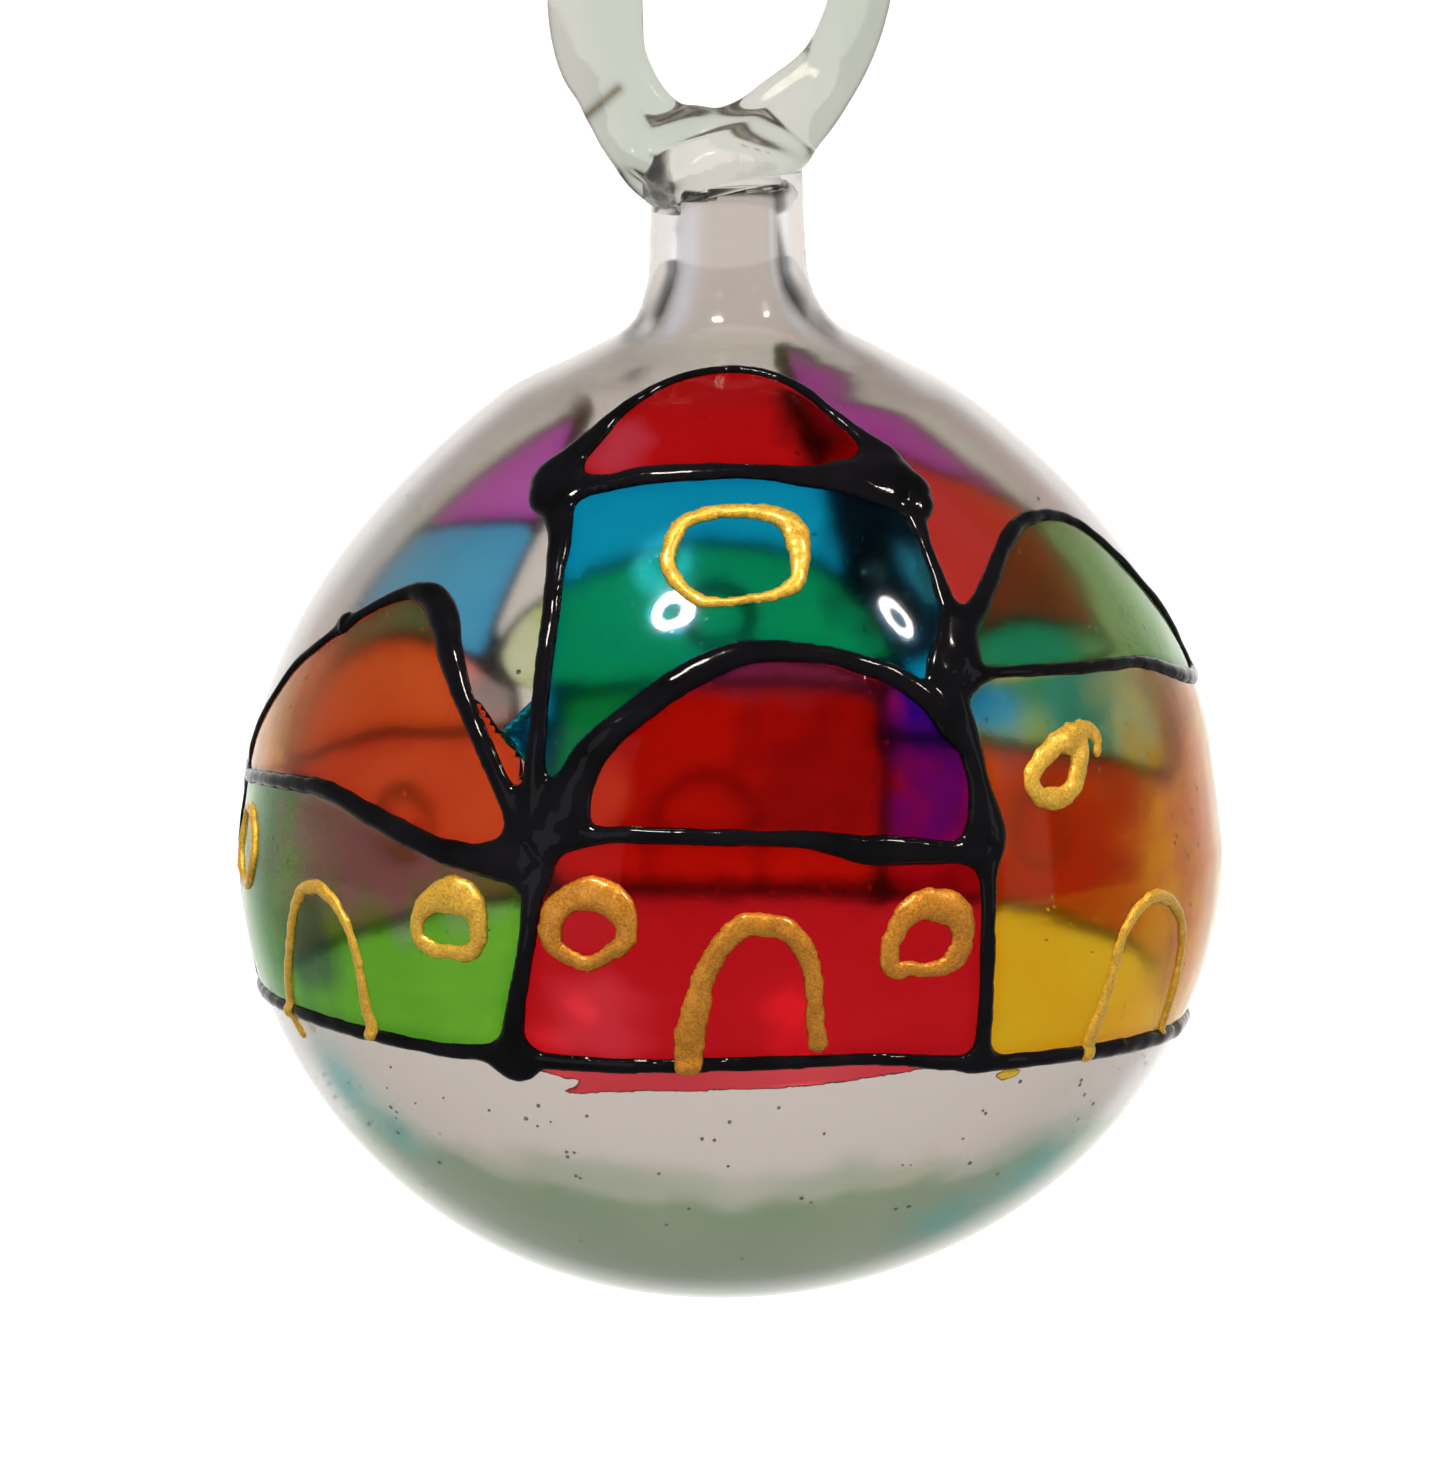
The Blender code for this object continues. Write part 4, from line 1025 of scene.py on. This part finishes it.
# What each film lets through where it is thin and where it is deep, and its record slot.
FILM_COLOURS = {
    "tower_roof_pane": ((0.8, 0.012, 0.016), (0.72, 0.004, 0.006), "red_film"),
    "tower_wall_pane": ((0.006, 0.52, 0.88), (0.001, 0.36, 0.78), "blue_film"),
    "centre_dome_pane": ((0.68, 0.012, 0.03), (0.52, 0.004, 0.014), "violet_film"),
    "centre_wall_pane": ((0.8, 0.014, 0.026), (0.66, 0.006, 0.012), "crimson_film"),
    "left_dome_pane": ((1.0, 0.38, 0.09), (0.94, 0.22, 0.04), "orange_film"),
    "left_wall_pane": ((0.25, 0.72, 0.06), (0.12, 0.52, 0.03), "leaf_film"),
    "right_dome_pane": ((0.46, 0.76, 0.3), (0.34, 0.66, 0.2), "green_film"),
    "right_wall_pane": ((1.0, 0.72, 0.03), (1.0, 0.54, 0.01), "yellow_film"),
    "back_centre_dome_pane": ((0.7, 0.94, 0.26), (0.58, 0.85, 0.12), "lime_film"),
    "back_centre_wall_pane": ((1.0, 0.66, 0.06), (0.95, 0.5, 0.02), "amber_film"),
    "back_left_dome_pane": ((0.95, 0.42, 0.4), (0.85, 0.25, 0.2), "rose_film"),
    "back_left_wall_pane": ((0.92, 0.36, 0.42), (0.8, 0.16, 0.25), "crimson_film"),
    "back_left_tower_wall_pane": ((0.1, 0.58, 0.98), (0.04, 0.46, 0.92), "sky_film"),
    "back_left_tower_roof_pane": ((0.75, 0.16, 0.8), (0.55, 0.06, 0.6), "purple_film"),
    "back_right_dome_pane": ((0.03, 0.55, 0.7), (0.01, 0.4, 0.5), "turquoise_film"),
    "back_right_wall_pane": ((0.66, 0.02, 0.03), (0.5, 0.01, 0.02), "rose_film"),
    "back_right_tower_wall_pane": ((0.8, 0.02, 0.014), (0.66, 0.008, 0.006), "red_film"),
    "back_right_tower_roof_pane": ((0.62, 0.07, 0.6), (0.45, 0.03, 0.45), "purple_film"),
}
# Washes of another colour laid into a wet film: colour, middle (longitude, height), half sizes.
WASHES = {
    "tower_roof_pane": [
        ((0.32, 0.004, 0.006), (17, 31), (6, 2.4)), ((0.85, 0.07, 0.12), (-24, 29.6), (6, 1.4)),
    ],
    "centre_dome_pane": [
        ((0.4, 0.006, 0.05), (10, 9), (9, 5)), ((0.42, 0.03, 0.48), (5, 16.2), (15, 1.8)),
        ((0.02, 0.002, 0.36), (24, 12.2), (5.2, 3.4)),
        ((0.2, 0.002, 0.34), (24, 7.2), (5.5, 2.5)), ((0.8, 0.07, 0.12), (-15, 7.6), (2.6, 2)),
    ],
    "tower_wall_pane": [
        ((0.002, 0.1, 0.22), (23, 23), (8.5, 5)), ((0.02, 0.7, 1.0), (20.4, 22.2), (1.6, 0.7)),
    ],
    "centre_wall_pane": [
        ((0.92, 0.05, 0.08), (-15, -7), (5.5, 2.5)), ((0.45, 0.004, 0.006), (4, 2.0), (26, 0.8)),
    ],
    "left_dome_pane": [((0.9, 0.5, 0.14), (-73, 8.5), (8, 4))],
    "left_wall_pane": [
        ((0.36, 0.42, 0.34), (-50, 3.6), (21, 4.6)), ((0.1, 0.26, 0.1), (-57, -4.6), (5.5, 3.4)),
        ((0.2, 0.46, 0.2), (-72, 1), (7, 9)),
    ],
    "right_wall_pane": [
        ((0.62, 0.74, 0.42), (50, 13), (17, 4.2)), ((0.86, 0.38, 0.15), (70, 4), (9, 11)),
        ((0.16, 0.6, 1.0), (33.5, 13.4), (3.4, 1.7)),
    ],
    "back_left_dome_pane": [((0.4, 0.34, 0.34), (212, 7), (4, 3))],
    "right_dome_pane": [((0.28, 0.74, 0.3), (42, 18), (9, 5))],
    "back_right_dome_pane": [
        ((0.94, 0.96, 0.88), (113, 9), (10, 7)), ((0.6, 0.85, 0.6), (140, 4.6), (5, 2.2)),
    ],
    "back_centre_dome_pane": [((0.9, 1.0, 0.7), (210, 11), (4, 5))],
    "back_right_wall_pane": [
        ((0.92, 0.55, 0.3), (103, -3), (9, 12)), ((0.85, 0.2, 0.6), (155, 0), (9, 9)),
    ],
}


def wash_mark(grid, middle, half, seed):
    """How strongly a wash covers each point: full in the middle, with a wandering edge."""
    turn = (grid.lon - middle[0] + 180) % 360 - 180
    far = np.sqrt((turn / half[0]) ** 2 + ((grid.height - middle[1]) / half[1]) ** 2)
    return np.clip(1.5 - far + 0.22 * waves(grid.points, 3.5, seed), 0, 1)


def make_films():
    for k, (name, outline) in enumerate(film_outlines().items()):
        thin, deep, slot = FILM_COLOURS[name]
        washes = WASHES.get(name, [])
        field = FILMS.inside(outline)
        inset = np.clip(field - 0.5, 0, None)
        pool = 0.75 * np.exp(-((inset / 0.7) ** 2)) + 0.12 * waves(FILMS.points, 9.0, 30 + k)
        marks = {"pool": pool}
        for n, (_, middle, half) in enumerate(washes):
            marks[f"wash_{n}"] = wash_mark(FILMS, middle, half, 80 + 5 * k + n)
        top = 0.05 + 0.09 * np.clip(field / 0.6, 0, 1) + 0.004 * waves(FILMS.points, 4.0, 50 + k)
        bottom = np.full(FILMS.shape, 0.035)
        material = film_material(name.replace("_pane", "_paint"), thin, deep, washes, 3.0 * k)
        piece = relief(name + "_film", FILMS, field, top, bottom, material, marks)
        piece.visible_shadow = False
        lit_by_lamps(piece)
        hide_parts(name)


# Paint that was brushed past the base line: name, outline, thin and deep colour, slot.
SPILLS = [
    ("spilt_red_film", [
        (-25.2, -10.2), (-23.8, -11.0), (-20.4, -11.4), (-18.0, -11.6), (-18.6, -12.0),
        (-20.2, -12.4), (-19.4, -12.6), (-10.6, -12.2), (-1.0, -12.0), (8.4, -11.8),
        (15.5, -11.4), (25.4, -10.8), (25.0, -10.0), (0.0, -10.0),
    ], (0.95, 0.12, 0.16), (0.7, 0.02, 0.04), "crimson_film"),
    ("spilt_yellow_film", [
        (33.2, -11.9), (34.6, -11.6), (37.6, -11.7), (37.0, -12.2), (34.8, -12.4),
    ], (1.0, 0.78, 0.1), (1.0, 0.62, 0.04), "yellow_film"),
]


def make_spills():
    for name, outline, thin, deep, slot in SPILLS:
        field = LINES.inside(outline, 1.5) + 0.05 * waves(LINES.points, 1.2, 61)
        top = 0.05 + 0.06 * np.clip(field / 0.3, 0, 1)
        marks = {"pool": 0.9 * np.exp(-((field / 0.12) ** 2))}
        material = film_material(name.replace("_film", "_paint"), thin, deep, (), 7.0)
        piece = relief(name, LINES, field, top, np.full(LINES.shape, 0.03), material, marks)
        piece.visible_shadow = False
        lit_by_lamps(piece)


# ---------------------------------------------------------------- stage


def make_floor():
    """A pale, glowing floor with a painted shadow: darker right under the hanging globe, so that the
    glass doesn't mirror it.
    """
    shader = Shader("pale_floor", Roughness=0.9, Specular_IOR_Level=0.0, Emission_Strength=0.93)
    away = shader.add("ShaderNodeVectorMath", {0: shader.place}, operation="LENGTH").outputs["Value"]
    # Painted shadow: colour and glow fall from pale to dark grey within 0.2 m of the spot under the
    # globe.
    tone = shader.mix(shader.ramp(away, 0.05, 0.2), (0.24, 0.24, 0.24), (0.88, 0.88, 0.88))
    shader.link(tone, "Base Color")
    shader.link(tone, "Emission Color")
    mesh = bmesh.new()
    bmesh.ops.create_grid(mesh, x_segments=8, y_segments=8, size=12.0)
    floor = make_object("studio_floor", mesh, shader.material)
    floor.location.z = EQUATOR_Z * MM - FLOOR_DROP
    floor.visible_glossy = False


def direction(azimuth, elevation):
    """A direction from the globe: azimuth in degrees from the front towards +X."""
    a, e = math.radians(azimuth), math.radians(elevation)
    return Vector((math.sin(a) * math.cos(e), -math.cos(a) * math.cos(e), math.sin(e)))


def aim(obj, azimuth, elevation, distance):
    centre = Vector((0, 0, EQUATOR_Z * MM))
    away = direction(azimuth, elevation)
    obj.location = centre + away * distance
    obj.rotation_euler = away.to_track_quat("Z", "Y").to_euler()


def aim_at_piece(lamp, azimuth, elevation, distance):
    """Places a lamp that lights only the glossy pieces and stays out of sight."""
    aim(lamp, azimuth, elevation, distance)
    lamp.visible_camera = False
    lamp.light_linking.receiver_collection = bpy.data.collections["lamp_lit"]


def ring_lamp(name, azimuth, elevation, distance, outer, inner, wide, strength):
    mesh = bmesh.new()
    turns = 2 * math.pi * np.arange(48) / 48
    rings = [
        [mesh.verts.new((wide * radius * math.cos(t), radius * math.sin(t), 0)) for t in turns]
        for radius in (outer, inner)
    ]
    for k in range(len(turns)):
        following = (k + 1) % len(turns)
        mesh.faces.new((rings[0][k], rings[0][following], rings[1][following], rings[1][k]))
    material = bpy.data.materials.new(name)
    material.use_nodes = True
    nodes = material.node_tree.nodes
    nodes.clear()
    glow = nodes.new("ShaderNodeEmission")
    glow.inputs["Color"].default_value = (1.0, 0.9, 0.78, 1)
    glow.inputs["Strength"].default_value = strength
    out = nodes.new("ShaderNodeOutputMaterial")
    material.node_tree.links.new(glow.outputs[0], out.inputs[0])
    lamp = make_object(name, mesh, material)
    aim_at_piece(lamp, azimuth, elevation, distance)


def make_light(name, kind, power, colour):
    light = bpy.data.lights.new(name, kind)
    light.energy = power
    light.color = colour
    obj = bpy.data.objects.new(name, light)
    bpy.context.scene.collection.objects.link(obj)
    return obj


def soft_box(name, azimuth, elevation, distance, wide, high, power):
    box = make_light(name, "AREA", power, (0.9, 0.94, 1.0))
    box.data.shape = "RECTANGLE"
    box.data.size, box.data.size_y = wide, high
    aim_at_piece(box, azimuth, elevation, distance)


def make_lights():
    sun = make_light("overhead", "SUN", 1.6, (1.0, 0.97, 0.93))
    sun.data.angle = math.radians(50)
    sun.rotation_euler = direction(-10, 62).to_track_quat("Z", "Y").to_euler()
    sun.visible_glossy = False
    sun.visible_transmission = False
    ring_lamp("ring_lamp_left", -27, 60, 1.2, 0.1, 0.045, 1.0, 120)
    ring_lamp("ring_lamp_right", 61, 52, 1.2, 0.095, 0.045, 0.55, 120)
    soft_box("window_left", -37, 8, 1.3, 0.5, 1.2, 1.0)
    soft_box("window_right", 71, 12, 1.3, 0.33, 1.0, 0.6)
    make_world()


# Brightness of the room: stops of (share of the way up the axis, grey) for each axis.
ROOM = {"Y": ((0.6, 0.08), (0.86, 0.32), (0.97, 0.95)), "Z": ((0.6, 1.0), (0.8, 0.2))}


def make_world():
    """A pale backdrop, and a room that is bright behind the globe and dim in front and overhead."""
    world = bpy.data.worlds.new("studio")
    bpy.context.scene.world = world
    world.use_nodes = True
    tree = world.node_tree
    link = tree.links.new
    place = tree.nodes.new("ShaderNodeTexCoord")
    split = tree.nodes.new("ShaderNodeSeparateXYZ")
    link(place.outputs["Generated"], split.inputs[0])
    blend = tree.nodes.new("ShaderNodeMix")
    blend.data_type = "RGBA"
    blend.blend_type = "MULTIPLY"
    blend.inputs[0].default_value = 1.0
    for (axis, stops), socket in zip(ROOM.items(), (6, 7)):
        half = tree.nodes.new("ShaderNodeMath")
        half.operation = "MULTIPLY_ADD"
        half.inputs[1].default_value = half.inputs[2].default_value = 0.5
        link(split.outputs[axis], half.inputs[0])
        ramp = tree.nodes.new("ShaderNodeValToRGB")
        link(half.outputs[0], ramp.inputs[0])
        while len(ramp.color_ramp.elements) < len(stops):
            ramp.color_ramp.elements.new(0.5)
        for element, (position, grey) in zip(ramp.color_ramp.elements, stops):
            element.position = position
            element.color = (grey, grey * 0.99, grey * 0.98, 1)
        link(ramp.outputs[0], blend.inputs[socket])
    backdrop = tree.nodes.new("ShaderNodeMix")
    backdrop.data_type = "RGBA"
    link(tree.nodes.new("ShaderNodeLightPath").outputs["Is Camera Ray"], backdrop.inputs[0])
    link(blend.outputs[2], backdrop.inputs[6])
    backdrop.inputs[7].default_value = (0.97, 0.97, 0.97, 1)
    link(backdrop.outputs[2], tree.nodes["Background"].inputs["Color"])
    tree.nodes["Background"].inputs["Strength"].default_value = 1.14


def make_camera():
    """A camera a little above the widest circle, aimed so that the loop's top is just outside."""
    data = bpy.data.cameras.new("camera")
    data.sensor_fit = "HORIZONTAL"
    data.sensor_width = 36
    data.lens = LENS
    data.clip_start = 0.01
    data.clip_end = 100
    camera = bpy.data.objects.new("camera", data)
    bpy.context.scene.collection.objects.link(camera)
    bpy.context.scene.camera = camera
    away = direction(0, CAMERA_ELEVATION)
    up = Vector((1, 0, 0)).cross(-away).normalized()
    centre = Vector((0, 0, EQUATOR_Z * MM))
    camera.location = centre + away * CAMERA_DISTANCE
    target = centre + Vector((AIM_ASIDE, 0, 0)) * MM + up * AIM_ABOVE * MM
    camera.rotation_euler = (target - camera.location).to_track_quat("-Z", "Y").to_euler()


def set_quality():
    scene = bpy.context.scene
    scene.view_settings.view_transform = "Standard"
    scene.view_settings.look = "None"
    cycles = scene.cycles
    cycles.max_bounces = 32
    cycles.transmission_bounces = 32
    cycles.glossy_bounces = 24
    cycles.diffuse_bounces = 3
    cycles.transparent_max_bounces = 16
    cycles.sample_clamp_indirect = 6.0
    cycles.use_denoising = True


make_camera()
make_glass()
top_of_black = make_black()
make_films()
make_spills()
make_gold(top_of_black)
make_floor()
make_lights()
set_quality()
